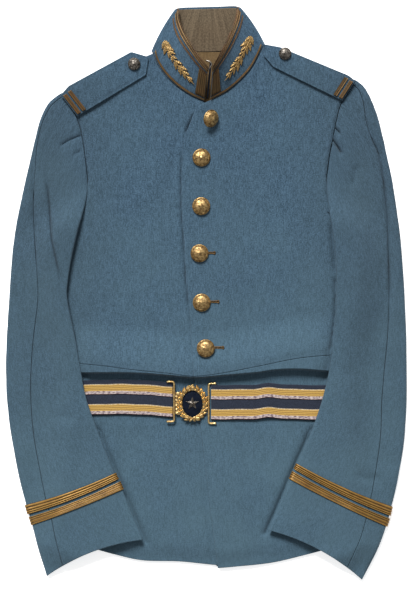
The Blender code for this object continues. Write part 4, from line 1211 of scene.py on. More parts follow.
@dataclass(frozen=True)
class TunicBody:
    """Back, fronts cut to the waist seam, and the skirts below it."""

    plan: BodyPlan
    shop: Workshop
    step: float = 2.2
    back_step: float = 6.0
    side_margin: float = 12.0
    shoulder_reach: float = 16.0
    hem_reach: float = 26.0
    skirt_lift: float = 1.5
    waist_gap: float = 0.25
    arm_gap: float = 0.25
    arm_valley: float = 1.5
    back_tuck: float = 1.4
    lining_wall: float = 1.2
    lining_rows: Pair = (258.0, 327.8)
    lining_columns: Pair = (-56.0, 62.0)
    waist_reach: float = 60.0
    arm_points: int = 46
    shoulder_flat: float = 2.0
    neck_free: Pair = (12.0, 30.0)
    valley_width: Pair = (0.5, 4.5)
    valley_end: Pair = (-42.0, -26.0)
    belt_hold: float = 30.0
    skirt_fall: float = 190.0
    hidden_top: Pair = (112.0, 124.0)
    hidden_end: Pair = (176.0, 196.0)
    back_lift: float = 3.7
    back_lift_end: Pair = (-213.0, -186.0)
    back_lift_top: Pair = (-113.0, -86.0)
    back_hem: float = 1.5
    back_hem_reach: Pair = (-331.0, -270.0)
    back_neck_reach: float = 115.0
    back_neck_span: Pair = (-72.0, 77.0)
    back_neck_shares: Spots = ((0, 0), (0.31, 1), (0.69, 1), (1, 0))
    fold_free: Pair = (-14.0, -1.0)
    front_clear: float = 0.3
    skirt_clear: float = 0.1
    fine_rows: int = 13

    def front(self, side: Side) -> None:
        """Make a front from the shoulder and neck seam to the waist seam.

        Args:
            side: Which front.
        """
        half, waist, count = self.plan.halves[side], self.plan.waist, self.arm_points
        neck = moved_sideways(half.neckline.points(count), side.value * SEAM_GAP)
        arm = moved_sideways(half.armhole.points(count), -side.value * self.arm_gap)
        feet = [line.meets(waist) for line in (half.front_edge, half.side_edge)]
        table = np.array([*half.rows, (feet[0][1], feet[1][1], 0.0)])
        places = np.linspace(0, len(table) - 1, 12 * len(table))
        edge_y, side_y, pressed = read_rows(places, np.arange(len(table)), table).T
        first = np.concatenate([neck, paired(half.front_edge.x_at(edge_y), edge_y)])
        second = np.concatenate([arm, paired(half.side_edge.x_at(side_y), side_y)])
        grid = panel_between(first, second, self.step, (count - 1,))
        x, y, edge = np.moveaxis(grid, 2, 0)
        base = np.interp(x, *np.transpose(sorted(feet)))
        y = y + (waist.y_at(x) - base) * fade(y, base, base + self.waist_reach)
        shoulder = run_lengths(grid[:, grid.shape[1] // 2, :2])[:, None]
        across, margin = (norm(grid[..., :2] - end, axis=2)
            for end in (grid[:, :1, :2], grid[:, -1:, :2]))
        press = np.maximum(fade(shoulder, self.shoulder_flat, self.shoulder_reach) * (1
            - fade(across, *self.neck_free)),
            np.interp(y, side_y[::-1], pressed[::-1]) * fade(margin, 0, self.side_margin))
        below = y - half.armhole.spots[-1][1]
        valley = fade(margin, *self.valley_width) * (1 - fade(below, *self.valley_end))
        press = press * self.plan.edge_press + self.arm_valley * valley
        z = self.plan.floor(side, x, y) + BODY_WALL - press
        fold = FRONT_FOLDS[side].moves(x, y) * fade(-edge, *self.fold_free)[..., None]
        outer = np.stack([x, y, z], axis=2) + fold
        outer[..., 2] = np.maximum(outer[..., 2], BODY_WALL + CLOTH + self.front_clear)
        self.shop.sheet(f"front_{side.word}", Slot.WOOL, (outer, edge, grid[..., :2]), CLOTH,
            ["back"] + ["front_right"] * (side is Side.LEFT))

    def skirt(self, side: Side) -> None:
        """Make a front skirt from the waist seam to the hem, drawn in under the belt.

        Args:
            side: Which skirt.
        """
        half, waist = self.plan.halves[side], self.plan.waist
        share = np.linspace(0, 1, 140)
        ends = []
        for line in (half.front_edge, half.side_edge):
            x = np.full(share.shape, line.meets(waist)[0])
            for _ in range(8):
                top = waist.y_at(x) - self.waist_gap
                y = top + (half.hem.y_at(x) - top) * share
                x = line.x_at(y)
            ends.append(paired(x, y))
        grid = panel_between(*ends, self.step)
        fine = self.fine_rows
        places = np.concatenate([np.arange(0, fine, 0.25), np.arange(fine, len(grid))])
        first = np.minimum(places.astype(int), len(grid) - 2)
        past = (places - first)[:, None, None]
        grid = grid[first] * (1 - past) + grid[first + 1] * past
        x, edge = grid[..., 0], grid[..., 2]
        whole = norm(np.diff(ends[0], axis=0), axis=1).sum()
        down = run_lengths(grid[:, 0, :2])[:, None] / whole
        top = waist.y_at(x) - self.waist_gap
        y = top + (half.hem.y_at(x) - top) * np.clip(down, 0, 1)
        free = np.clip((self.plan.belt.y_at(x) - self.belt_hold - y) / self.skirt_fall, 0, 1)
        z = self.plan.floor(side, x, y) + BODY_WALL + self.skirt_lift * np.sin(pi * free)
        margin = norm(grid[..., :2] - grid[:, -1:, :2], axis=2)
        side_press = fade(margin, 0, self.side_margin) * np.interp(free, (0.1, 0.4), (0, 1))
        hem_press = fade(y - half.hem.y_at(x), 0, self.hem_reach)
        shown = fade(-y, *self.hidden_top) + (1 - fade(-y, *self.hidden_end))
        z = z - self.plan.edge_press * np.maximum(side_press, hem_press)
        kept = fade(-edge, *self.fold_free) * np.clip(shown, 0, 1)
        outer = np.stack([x, y, z], axis=2) + FRONT_FOLDS[side].moves(x, y) * kept[..., None]
        outer[..., 2] = np.maximum(outer[..., 2], BODY_WALL + CLOTH + self.skirt_clear)
        self.shop.sheet(f"skirt_{side.word}", Slot.WOOL, (outer, edge, paired(x, y)), CLOTH,
            ["back"] + ["skirt_right"] * (side is Side.LEFT))

    def back(self) -> None:
        """Make the whole back, flat on the floor but for its rise over the belt's back run."""
        sides = []
        for side, half in self.plan.halves.items():
            arm = moved_sideways(half.armhole.points(self.arm_points), side.value * self.back_tuck)
            below = np.linspace(half.armhole.spots[-1][1] - 3, half.hem.y_at(210 * side.value), 120)
            below_x = half.side_edge.x_at(below) + side.value * self.back_tuck
            sides.append(np.concatenate([arm, paired(below_x, below)]))
        grid = panel_between(*sides, self.back_step, (self.arm_points - 1,), lines=60)
        x, y, edge = np.moveaxis(grid, 2, 0)
        across = (x - x[:, :1]) / (x[:, -1:] - x[:, :1])
        top_x = x[0]
        rise = self.plan.back_neck.y_at(top_x) - SEAM_GAP - y[0]
        outer_part = np.interp(across[0], *zip(*self.back_neck_shares))
        low, high = self.back_neck_span
        rise = np.where((top_x > low) & (top_x < high), rise, rise * outer_part)
        roof = np.clip(1 - (y[:1] - y) / self.back_neck_reach, 0, 1) ** 1.5
        y = y + rise[None] * roof
        y = y + (self.plan.hem_y(x) + self.back_hem - y[-1:]) * fade(y, *self.back_hem_reach)
        lift = self.back_lift * (1 - fade(y, *self.back_lift_end)) * fade(y, *self.back_lift_top)
        outer = np.stack([x, y, BODY_WALL + lift], axis=2)
        self.shop.sheet("back", Slot.WOOL, (outer, edge, grid[..., :2]), CLOTH, ["floor"])

    def neck_lining(self) -> None:
        """Make the lining of the back that shows through the collar."""
        xs, ys = (rim_places(high - low, self.step) + low for low, high in (self.lining_columns,
            self.lining_rows))
        x, y = np.meshgrid(xs, ys)
        edge = from_rim(ys, xs)
        ripple = Drape((Crease(((-40, 322), (0, 316), (44, 323)), 0.5, 5),), 0.3, 9)
        z = BODY_WALL + SEAM_GAP + self.lining_wall
        z = z + ripple.moves(x, y)[..., 2] * fade(-edge, -8, -1)
        outer = np.stack([x, y, z], axis=2)
        self.shop.sheet("back_neck_lining", Slot.NECK_LINING, (outer, edge, outer[..., :2]), 1.0,
            ["back"])

    def build(self) -> None:
        """Make every panel."""
        self.back()
        self.neck_lining()
        for side in Side:
            self.front(side)
            self.skirt(side)


# Sleeves


class Sections(NamedTuple):
    """Sections of a flattened sleeve, one a row.

    outer and inner are its edges in plan, hind the hind seam's distance from the outer edge, bow
    how far a section follows the armhole's curve, sag its curve towards the cuff, floor its
    height above the floor, and height its thickness.
    """

    outer: Array
    inner: Array
    hind: Array
    bow: Array
    sag: Array
    floor: Array
    height: Array

    @property
    def width(self) -> Array:
        """Each section's width."""
        return norm(self.outer - self.inner, axis=1)


# Both edges in plan and the hind seam, from the armhole to the cuff
SLEEVE_EDGES = {
    Side.RIGHT: (
        (-196.4, 272.4, -161.5, 153, 6), (-206, 266, -161.5, 146, 6), (-216, 256, -162.4, 131, 6),
        (-226, 235, -167.5, 108, 6), (-233, 208, -173.5, 87, 7), (-240, 178, -178.5, 66, 15),
        (-246.5, 150, -182.5, 48, 22.5), (-252.5, 122, -185.5, 32, 31),
        (-258.5, 92, -187.5, 17, 38), (-264, 50, -189, 0, 41), (-268, -8, -186, -22, 39.5),
        (-271, -55, -178.5, -57, 37), (-272.5, -100, -171.5, -98, 35), (-271, -145, -163, -142, 33),
        (-265.5, -192, -149, -182, 31), (-256, -243, -135, -218, 30), (-244, -292, -123, -247, 28),
        (-237.5, -311, -115, -263, 28), (-229, -345, -102, -296, 27), (-217, -385, -86, -335, 26)),
    Side.LEFT: (
        (204.4, 289.4, 164, 157, 6), (214, 281, 164, 150, 7), (223, 266, 164.2, 135, 12),
        (232, 243, 167, 112, 20), (239.5, 215, 170.2, 92, 17), (246, 185, 172.8, 74, 12),
        (252.5, 155, 174.6, 56, 17), (258, 120, 176, 36, 19.5), (263, 84, 176.6, 16, 21),
        (267, 40, 176.3, -6, 21), (270, -10, 175.5, -30, 22.6), (272, -60, 172, -62, 26),
        (272.5, -105, 167.5, -100, 30.6), (272.3, -150, 158, -142, 34),
        (269.5, -197, 145, -181, 33), (262, -246, 133, -210, 32), (251, -294, 122.5, -234, 30),
        (246, -313, 115, -249, 30), (233, -348, 101, -283, 28), (212, -390, 84, -322, 26))}
# Bow, sag, floor and height of the same sections
SLEEVE_LEVELS = (
    (1, 0, 0, 8), (0.9, 0, 0, 8.2), (0.7, 0, 0, 8.2), (0.4, 0, 0, 8), (0.2, 0, 0, 7.6),
    (0, 0, 0, 7.4), (0, 0, 0, 7.2), (0, 0, 0, 7.2), (0, 0, 0, 7.2), (0, 0, 0, 7.2),
    (0, 0, 0, 7.2), (0, 0, 0, 7.2), (0, 0, 0, 7.2), (0, 0, 0, 7.2), (0, 1, 0, 7.2),
    (0, -3, 1.6, 7), (0, -3, 1.6, 6.8), (0, -2, 1.6, 6.8), (0, 4, 1.6, 6.6), (0, 9, 1.6, 6.2))

SLEEVE_FOLDS = {
    Side.RIGHT: Drape((
        Crease(((-222, 182), (-217, 152), (-214, 130), (-212, 104), (-210, 75), (-204, 46),
            (-197, 16), (-189, -8)), -4.4, 2.4, sharp=0.62),
        Crease(((-228, 168), (-223, 118), (-219, 72), (-212, 30)), 1.3, 6),
        Crease(((-205, 120), (-203, 80), (-196, 40)), 0.9, 7),
        Crease(((-171, 213.5), (-175, 212), (-187, 207), (-196, 201), (-201, 196)), -3.6, 2.2,
            open_start=True, sharp=0.6),
        Crease(((-168, 195), (-174, 191), (-181, 186)), -2.4, 2.2, sharp=0.5),
        Crease(((-236, 190), (-235, 150), (-234, 110), (-232, 60), (-231, 20)), -2.4, 2.4),
        Crease(((-176, -176), (-190, -168), (-206, -166)), -1.6, 8),
        Crease(((-196, -40), (-204, -90), (-206, -140)), 0.8, 14)), swell=0.6, seed=11),
    Side.LEFT: Drape((
        Crease(((170, 211.5), (174, 205), (180, 196), (186, 186)), -7.6, 2.6, open_start=True,
            sharp=0.6),
        Crease(((174, 225), (179, 220), (184, 215)), -5.4, 2.3, open_start=True, sharp=0.55),
        Crease(((206, 178), (203, 162), (197, 140)), -2.2, 6),
        Crease(((213.6, 262), (221, 228), (226, 207), (233, 193), (238.5, 170), (243, 138),
            (247, 97), (248.3, 45), (250, -10), (250, -70)), -4.0, 2.8, sharp=0.5),
        Crease(((216, 214), (226, 184), (234, 150), (238, 100)), 1.2, 7),
        Crease(((196, 130), (206, 80), (208, 20), (204, -40)), 0.8, 14),
        Crease(((200, -243), (214, -251), (228, -252), (238, -246)), -1.8, 7),
        Crease(((186, -100), (196, -150), (202, -190)), 0.8, 13)), swell=0.6, seed=13)}


@dataclass(frozen=True)
class Sleeve:
    """A two-piece sleeve pressed flat, with two braids round its cuff."""

    plan: BodyPlan
    shop: Workshop
    side: Side
    step: float = 2.0
    under_step: float = 3.2
    wall: float = 1.6
    corner: float = 4.0
    lift: float = 12.2
    pillow: float = 1.1
    pillow_reach: float = 20.0
    braid_gap: float = 0.5
    braid_wall: float = 1.0
    braid_cords: int = 4
    cord_height: float = 0.55
    braid_clear: float = 0.1
    braid_columns: int = 170
    carried_beside: Pair = (-14.0, 36.0)
    carried_below: Pair = (-72.0, 6.0)
    carried_hem: Pair = (12.0, 50.0)
    braid_rows: tuple[tuple[str, float, float], ...] = (("upper", 15.88, 16.38),
        ("lower", 16.6, 17.15))

    FINE: ClassVar[int] = 24

    def stations(self) -> Array:
        """The table of sections, with many rows between two of its own."""
        table = np.hstack([SLEEVE_EDGES[self.side], SLEEVE_LEVELS])
        return smooth_rows(table, self.FINE * (len(table) - 1) + 1)

    def at(self, row: Array) -> Sections:
        """The sections at rows of the table, whole or not."""
        fine = self.stations()
        found = read_rows(row * self.FINE, np.arange(len(fine)), fine)
        return Sections(found[:, :2], found[:, 2:4], *found[:, 4:].T)

    def support(self, x: Array, y: Array, floor: Array) -> Array:
        """Height of the underside: the floor, or the body that the sleeve lies over."""
        armpit = self.plan.halves[self.side].side_edge.spots[0][1] - 2
        beside, hem = np.abs(x) - self.plan.carried.x_at(y), self.plan.hem_y(x)
        over = ramp(beside, *self.carried_beside) * ramp(y - armpit, *self.carried_below)
        over = over * ramp(hem - y, *self.carried_hem)
        over = over * over * (3 - 2 * over)
        return floor + (self.lift - floor) * over

    def round_length(self, width: Array, grow: Array | float = 0.0) -> Array:
        """Length once round the section."""
        return 6 * (self.corner + grow) + 2 * (width + 2 * grow - 2 * (self.corner + grow))

    def outline(self, run: Array, width: Array, grow: Array | float) -> tuple[Array, Array]:
        """Where a length round the section lies.

        Args:
            run: Length from the inner edge, going over the top.
            width: The section's width.
            grow: How far the outline is moved out.

        Returns:
            Distance from the inner edge, and height as a share of half the thickness.
        """
        radius = self.corner + grow
        bend = 1.5 * radius
        wide = width + 2 * grow
        top_end = bend + wide - 2 * radius
        low_start = top_end + 2 * bend
        low_end = low_start + wide - 2 * radius
        first, second, third = (np.clip((run - start) / bend, 0, most) * pi / 2
            for start, most in ((0, 1), (top_end, 2), (low_end, 1)))
        parts = [run < bend, run < top_end, run < low_start, run < low_end]
        away = np.select(parts, [radius * (1 - np.cos(first)), radius + run - bend, wide - radius
            + radius * np.sin(second), wide - radius - (run - low_start)],
            radius * (1 - np.sin(third)))
        ones = np.ones_like(run)
        up = np.select(parts, [np.sin(first), ones, np.cos(second), -ones], -np.cos(third))
        return away - grow, up

    def surface(self, row: Array, run: Array, grow: Array | float = 0.0) -> Array:
        """Points of the sleeve's surface, or of one moved out from it.

        Args:
            row: Rows of the table, whole or not.
            run: Lengths round the section, a line of them for each row.
            grow: How far the surface is moved out, one number or one a row.

        Returns:
            A grid of points.
        """
        at = self.at(row)
        grow = np.broadcast_to(grow, row.shape)[:, None]
        width = at.width[:, None]
        along = (at.outer - at.inner) / width
        down = np.stack([along[:, 1], -along[:, 0]], axis=1) * -self.side.value
        away, up = self.outline(run, width, grow)
        share = away / width
        inside = np.clip(share, 0, 1)
        arm = self.plan.halves[self.side].armhole.points(41)[::-1]
        on_arm = read_rows(inside, np.linspace(0, 1, len(arm)), arm)
        flat = at.inner[:, None] + along[:, None] * away[..., None]
        flat = flat + at.bow[:, None, None] * (on_arm - arm[0]
            - (arm[-1] - arm[0]) * inside[..., None])
        sag = at.sag[:, None] * 4 * share * (1 - share)
        flat = flat + down[:, None] * sag[..., None]
        x, y = flat[..., 0], flat[..., 1]
        half = at.height[:, None] / 2
        middle = self.support(x, y, at.floor[:, None]) + half
        upper = np.maximum(up, 0) ** 2
        soft = self.pillow * fade(np.minimum(away, width - away), 0, self.pillow_reach)
        z = middle + (half + grow) * up - upper * soft
        return np.stack([x, y, z], 2) + SLEEVE_FOLDS[self.side].moves(x, y) * upper[..., None]

    def row_places(self) -> tuple[Array, Array]:
        """Rows from the armhole to the cuff hem, and the length at each."""
        fine = self.stations()
        lengths = run_lengths((fine[:, :2] + fine[:, 2:4]) / 2)
        places = rim_places(float(lengths[-1]), self.step)
        return np.interp(places, lengths, np.arange(len(fine)) / self.FINE), places

    def half_tube(self, name: str, start: Array, end: Array, upper: bool) -> None:
        """Make the top or the under sleeve.

        Args:
            name: The piece's name.
            start: Length round each section where the piece starts.
            end: Length where it ends.
            upper: Whether it is the one that faces up.
        """
        row, places = self.row_places()
        usual = float(np.median(end - start))
        share = rim_places(usual, self.step if upper else self.under_step) / usual
        total = (end - start)[:, None]
        run = start[:, None] + share[None] * total
        outer = self.surface(row, run)
        across = np.minimum(share[None] * total, (1 - share[None]) * total)
        edge = np.minimum(across, np.minimum(places, places[-1] - places)[:, None])
        inside = None if upper else outer.mean(axis=1, keepdims=True)
        rests = f"sleeve_under_{self.side.word}" if upper else "floor"
        self.shop.sheet(name, Slot.WOOL, (outer, edge, paired(run, -places[:, None])), self.wall,
            [rests], inside)

    def braid(self, name: str, low: float, high: float) -> None:
        """Make a cuff braid of cords side by side.

        Args:
            name: The piece's name.
            low: The row that it starts at.
            high: The row that it ends at.
        """
        share = np.linspace(0, 1, 6 * self.braid_cords + 1)
        row = low + (high - low) * share
        relief = self.cord_height * cord_relief(self.braid_cords, share)
        grow = self.braid_gap + self.braid_wall + relief
        length = self.round_length(self.at(row).width, grow)
        run = length[:, None] * np.linspace(0, 1, self.braid_columns, endpoint=False)
        outer = self.surface(row, run, grow)
        outer[..., 2] = np.maximum(outer[..., 2], self.braid_clear)
        wide = float(norm(outer[-1, 60] - outer[0, 60]))
        edge = np.broadcast_to((np.minimum(share, 1 - share) * wide)[:, None], run.shape)
        piece = shell(name, outer, edge, self.braid_wall, paired(run, share[:, None] * wide),
            outer.mean(axis=1, keepdims=True), ring=True)
        self.shop.fasten(piece, Slot.BRAID)

    def build(self) -> None:
        """Make the sleeve and its braids."""
        at = self.at(self.row_places()[0])
        seam = 1.5 * self.corner + at.width - at.hind - self.corner
        gap = np.full(len(seam), SEAM_GAP / 2)
        word = self.side.word
        self.half_tube(f"sleeve_top_{word}", gap, seam, True)
        self.half_tube(f"sleeve_under_{word}", seam + SEAM_GAP, self.round_length(at.width) - gap,
            False)
        for name, low, high in self.braid_rows:
            self.braid(f"cuff_braid_{name}_{word}", low, high)


# Collar


class CollarFace:
    """The collar's outer face, with places counted round it in stations."""

    HALF = 10
    FINE = 8
    FOLD = ((3.0, 0.12), (4.0, 0.45), (3.0, 0.85))
    BACK_REACH = 6.0

    def __init__(self, plan: BodyPlan) -> None:
        """Lay out the stations from the right end to the left."""
        right, left = (self.half(plan, side) for side in Side)
        back = []
        for share in (0.25, 0.5, 0.75):
            foot, top = (np.array(right[-1][key]) * (1 - share) + np.array(left[-1][key]) * share
                for key in (0, 1))
            foot[1] = plan.back_neck.y_at(foot[0])
            back.append((tuple(foot), tuple(top), 0.0))
        stations = right + back + left[::-1]
        count = self.FINE * (len(stations) - 1) + 1
        self.last = float(len(stations) - 1)
        self.neck, self.top = (smooth_rows([station[key] for station in stations], count)
            for key in (0, 1))
        self.bow = np.interp(np.linspace(0, self.last, count), np.arange(len(stations)),
            [station[2] for station in stations])
        along = np.gradient((self.neck + self.top) / 2, axis=0)
        self.normal = unit(np.cross(self.top - self.neck, along))

    def half(self, plan: BodyPlan, side: Side) -> list[tuple]:
        """Stations of one half: neck point, top point and outward bow."""
        shape = plan.halves[side]
        neck = shape.neckline.points(self.HALF + 1)
        top = smooth_rows(shape.collar_top, self.HALF + 1)
        found = []
        for index in range(self.HALF, -1, -1):
            x, y = neck[index]
            z = float(plan.floor(side, x, y)) + BODY_WALL + SEAM_GAP
            found.append(((x, y, z), tuple(top[index]), 4.0 * (1 - index / self.HALF) ** 3))
        (x, y, z), (tx, ty, tz), _ = found[-1]
        low = plan.collar_back_floor
        for away, share in self.FOLD:
            turn = side.value * away
            found.append(((x + turn * 0.8, y + away * 0.5, z - (z - low) * share),
                (tx + turn * 0.7, ty + away * 0.25, tz - (tz - low) * share), 4.0))
        x -= side.value * self.BACK_REACH
        found.append(((x, float(plan.back_neck.y_at(x)), low),
            (tx - side.value * self.BACK_REACH, ty + 2.0, low), 1.5))
        return found

    def point(self, place: Array, share: Array, rise: Array | float) -> Array:
        """Points at places round the collar.

        Args:
            place: Stations from the right end.
            share: Shares of the height.
            rise: How far out of the face.

        Returns:
            The points, with the places' shape and x, y and z last.
        """
        place, share, rise = np.broadcast_arrays(place, share, rise)
        index = place * self.FINE
        steps = np.arange(len(self.bow))
        neck, top, normal = (read_rows(index, steps, rows)
            for rows in (self.neck, self.top, self.normal))
        normal = unit(normal)
        bow = np.interp(index, steps, self.bow)[..., None]
        share = share[..., None]
        flat = normal * (1.0, 1.0, 0.0)
        return (neck + (top - neck) * share + flat * bow * 2.4 * share * (1 - share)
            + normal * rise[..., None])

    def places(self, start: float, end: float, step: float) -> tuple[Array, Array]:
        """Places between two stations by length at mid height, and the lengths."""
        steps = np.linspace(start, end, 600)
        lengths = run_lengths(self.point(steps, np.full(steps.shape, 0.5), 0.0))
        runs = rim_places(float(lengths[-1]), step)
        return np.interp(runs, lengths, steps), runs


class Band(NamedTuple):
    """A band round the collar, between two shares of its height."""

    name: str
    low: float
    high: float
    wall: float
    cords: int
    slot: Slot
    depth: float = 0.7


@dataclass(frozen=True)
class Collar:
    """Stand collar with its lining, braids, leaf sprays and hook."""

    plan: BodyPlan
    shop: Workshop
    face: CollarFace
    height: float = 46.0
    step: float = 2.2
    wall: float = 1.5
    lining_wall: float = 1.0
    lining_gap: float = 0.35
    band_gap: float = 0.5
    bands: tuple[Band, ...] = (Band("collar_edge_braid", 0.866, 1.012, 1.0, 4, Slot.BRAID, 2.6),
        Band("collar_soutache", 0.775, 0.835, 0.8, 2, Slot.BRAID_DARK),
        Band("collar_neck_braid", 0.03, 0.09, 0.9, 2, Slot.BRAID))
    end_reaches: Pair = (1.7, 1.4)
    fold: float = 11.4
    tuck: float = 0.11
    end_shares: Pair = (0.1, 0.765)
    relief: float = 0.4
    fold_sink: float = 2.6
    fold_width: float = 1.7
    tab_depth: float = 5.5
    stem: Spots = ((0.12, 0.41), (0.36, 0.41), (0.58, 0.38), (0.8, 0.32))
    hook_path: Spots = ((0.3, 314.6, 36.2), (4.2, 313.4, 36.8), (7.4, 309.8, 37.0),
        (5.4, 305.6, 36.8), (2.9, 302.6, 36.2))
    leaf_pairs: int = 8
    leaf_length: float = 12.5
    leaf_width: float = 5.0
    leaf_spread: float = 0.5

    def sheet_of(self, name: str, slot: Slot, rise: float, thickness: float) -> None:
        """Make the outer collar or its lining.

        Args:
            name: The piece's name.
            slot: Its slot.
            rise: How far its outer face is from the collar's face.
            thickness: Its thickness.
        """
        place, run = self.face.places(self.tuck, self.face.last - self.tuck, self.step)
        levels = rim_places(self.height, self.step)
        back = fade(np.abs(place - self.face.last / 2), 2.5, 4)
        short = 0.03 * back if rise < 0 else 0.02 * (1 - back)
        share = (levels / self.height)[:, None] * (1 - short) - 0.016 * (rise < 0)
        outer = self.face.point(place[None], share, rise)
        inside = outer.mean(axis=(0, 1)) * (1, 1, 0)
        grids = outer, from_rim(levels, run), paired(run[None], levels[:, None])
        self.shop.sheet(name, slot, grids, thickness, ["front_right", "front_left"], inside)

    def band(self, band: Band, start: float, end: float, upright: bool = False) -> None:
        """Make a braid along the collar, or up its front end.

        Args:
            band: Its place, wall and cords.
            start: The station that it starts at.
            end: The station that it ends at.
            upright: Whether its cords run up the collar.
        """
        place, run = self.face.places(start, end, 0.5 if upright else self.step)
        share = np.linspace(band.low, band.high, 16 if upright else 6 * band.cords + 1)
        part = (share - band.low) / (band.high - band.low)
        up = self.height * (band.high - band.low) * part
        if upright:
            cords = cord_relief(band.cords, run / run[-1])[None]
            flat = paired(up[:, None], run[None])
        else:
            cords = cord_relief(band.cords, part)[:, None]
            flat = paired(run[None], up[:, None])
        away = np.minimum(np.abs(place - self.fold), np.abs(self.face.last - self.fold - place))
        rise = self.band_gap + band.wall * 0.65 + self.relief * cords
        rise = rise - self.fold_sink * np.exp(-(away / self.fold_width) ** 4)
        outer = self.face.point(place[None], share[:, None], rise)
        inside = self.face.point(place[None], share[:, None], -8.0)
        piece = shell(band.name, outer, from_rim(up, run), band.depth, flat, inside)
        self.shop.fasten(piece, band.slot)

    def spray(self, side: Side) -> None:
        """Make the leaf spray of one collar half, its tip at the front end.

        Args:
            side: Which half.
        """
        half = float(self.face.HALF)

        def on_face(along: Array, share: Array, rise: float) -> Array:
            """Points on this half; along runs from the side fold to the front end."""
            place = (1 - along) * half
            if side is Side.LEFT:
                place = self.face.last - place
            return self.face.point(place, share, rise)

        stem = smooth_rows(self.stem, 60)
        line, above = (on_face(stem[:, 0], stem[:, 1], rise) for rise in (0.45, 1.45))
        pieces = [tube("stem", line + (above - line) * 1.2, np.linspace(0.9, 0.5, 60))]
        ahead = unit(np.gradient(line, axis=0))
        rng = np.random.default_rng(21 + side.value)
        spots = [(t, turn) for t in np.linspace(0.0, 0.84, self.leaf_pairs) for turn in (-1, 1)] + [
            (0.88, 0)]
        for t, turn in spots:
            at = int(t * 59)
            size = 0.66 + 0.5 * max(exp(-((t - spot) / 0.17) ** 2) for spot in (0.1, 0.58))
            size *= rng.uniform(0.93, 1.07)
            leaf = Leaf(self.leaf_length * size, self.leaf_width * size, 1.7, lobes=3.5)
            up = above[at] - line[at]
            way = turn * (self.leaf_spread * (1.25 - 0.5 * t) + rng.uniform(-0.1, 0.1))
            forward = ahead[at] * cos(way) + np.cross(up, ahead[at]) * sin(way)
            pieces.append(leaf.build("leaf", laid_at(line[at], forward, up), 0.35 * rng.random()))
        spray = joined(f"leaf_spray_{side.word}", pieces)
        self.shop.fasten(spray, Slot.BULLION)

    def hook(self) -> None:
        """Make the wire hook at the top of the front opening."""
        hook = tube("collar_hook", smooth_rows(self.hook_path, 40), 1.1)
        self.shop.fasten(hook, Slot.SILVER)

    def underlap(self) -> None:
        """Make the tab that lies behind the front opening, in the dark belt webbing as painted
        shade for the gap.
        """
        share, across = np.linspace(0.02, 1.1, 28), np.linspace(-0.35, 1.35, 10)[None, :, None]
        right, left = (self.face.point(np.full(28, place), share, -self.tab_depth)[:, None]
            for place in (0.0, self.face.last))
        outer = right * (1 - across) + left * across
        edge = np.full(outer.shape[:2], FAR)
        edge[[0, -1], :] = edge[:, [0, -1]] = 0.0
        tab = shell("collar_underlap", outer, edge, 1.0, outer[..., :2])
        # Painted shade: the dark belt webbing stands for the shade in the opening
        self.shop.fasten(tab, Slot.BELT, stands_in=False)

    def build(self) -> None:
        """Make the collar and all that is on it."""
        self.underlap()
        self.sheet_of("collar", Slot.WOOL, 0.0, self.wall)
        self.sheet_of("collar_lining", Slot.LINING, -self.wall - self.lining_gap, self.lining_wall)
        for band in self.bands:
            self.band(band, 0.0, self.face.last)
        for side, start, end in ((Side.RIGHT, 0.0, self.end_reaches[0]),
                (Side.LEFT, self.face.last - self.end_reaches[1], self.face.last)):
            end_band = Band(f"collar_end_braid_{side.word}", *self.end_shares, 1.0, 7, Slot.BRAID,
                2.6)
            self.band(end_band, start, end, upright=True)
            self.spray(side)
        self.hook()


@dataclass(frozen=True)
class Leaf:
    """A raised leaf with a middle rib: length, width, height and how many lobes a side."""

    length: float
    width: float
    height: float
    lobes: float = 0.0
    lift: float = 0.0

    def build(self, name: str, onto: Layer, floor: float) -> Object:
        """Make the leaf.

        Args:
            name: The object's name.
            onto: Lays leaf coordinates (forward, aside, up) on what carries it.
            floor: How high its underside lies.

        Returns:
            The leaf as a closed body.
        """
        rows, columns = 22 if self.lobes else 13, 9
        t = np.linspace(0.0, 1.0, rows)[:, None]
        aside = np.linspace(-1.0, 1.0, columns)[None]
        half = self.width / 2 * np.sin(pi * np.clip(t, 0.012, 0.988) ** 0.85) ** 0.8
        half = half * (1 + 0.2 * np.cos(2 * pi * self.lobes * t)) if self.lobes else half
        forward = t * self.length - 0.12 * self.length * np.abs(aside) * (self.lobes > 0)
        forward, side = np.broadcast_arrays(forward, aside * half)
        thin = np.sin(pi * np.clip(t, 0.02, 0.98)) ** 0.35
        body = (1 - np.abs(aside) ** 2.2) * 0.72 + 0.28 * np.exp(-(aside / 0.16) ** 2)
        veins = 0.12 * np.sin(2 * pi * (t * 7 - np.abs(aside) * 1.6)) * (1 - aside ** 2)
        rise = self.height * (0.16 + (body + veins) * thin) + self.lift * t
        low = np.broadcast_to(floor + self.lift * t, forward.shape)
        top = onto(forward, side, floor + rise)
        bottom = onto(forward, side, low)
        return slab(name, top, bottom, np.stack([forward, side], axis=-1))


def laid_at(base: Array, forward: Array, up: Array) -> Layer:
    """A function that lays leaf coordinates (forward, aside, up) at a place and heading."""
    aside = np.cross(up, forward)

    def lay(ahead: Array, over: Array, rise: Array) -> Array:
        """Points in place."""
        return (base + ahead[..., None] * forward + over[..., None] * aside + rise[..., None] * up)

    return lay


# Straps, buttons, belt and buckle


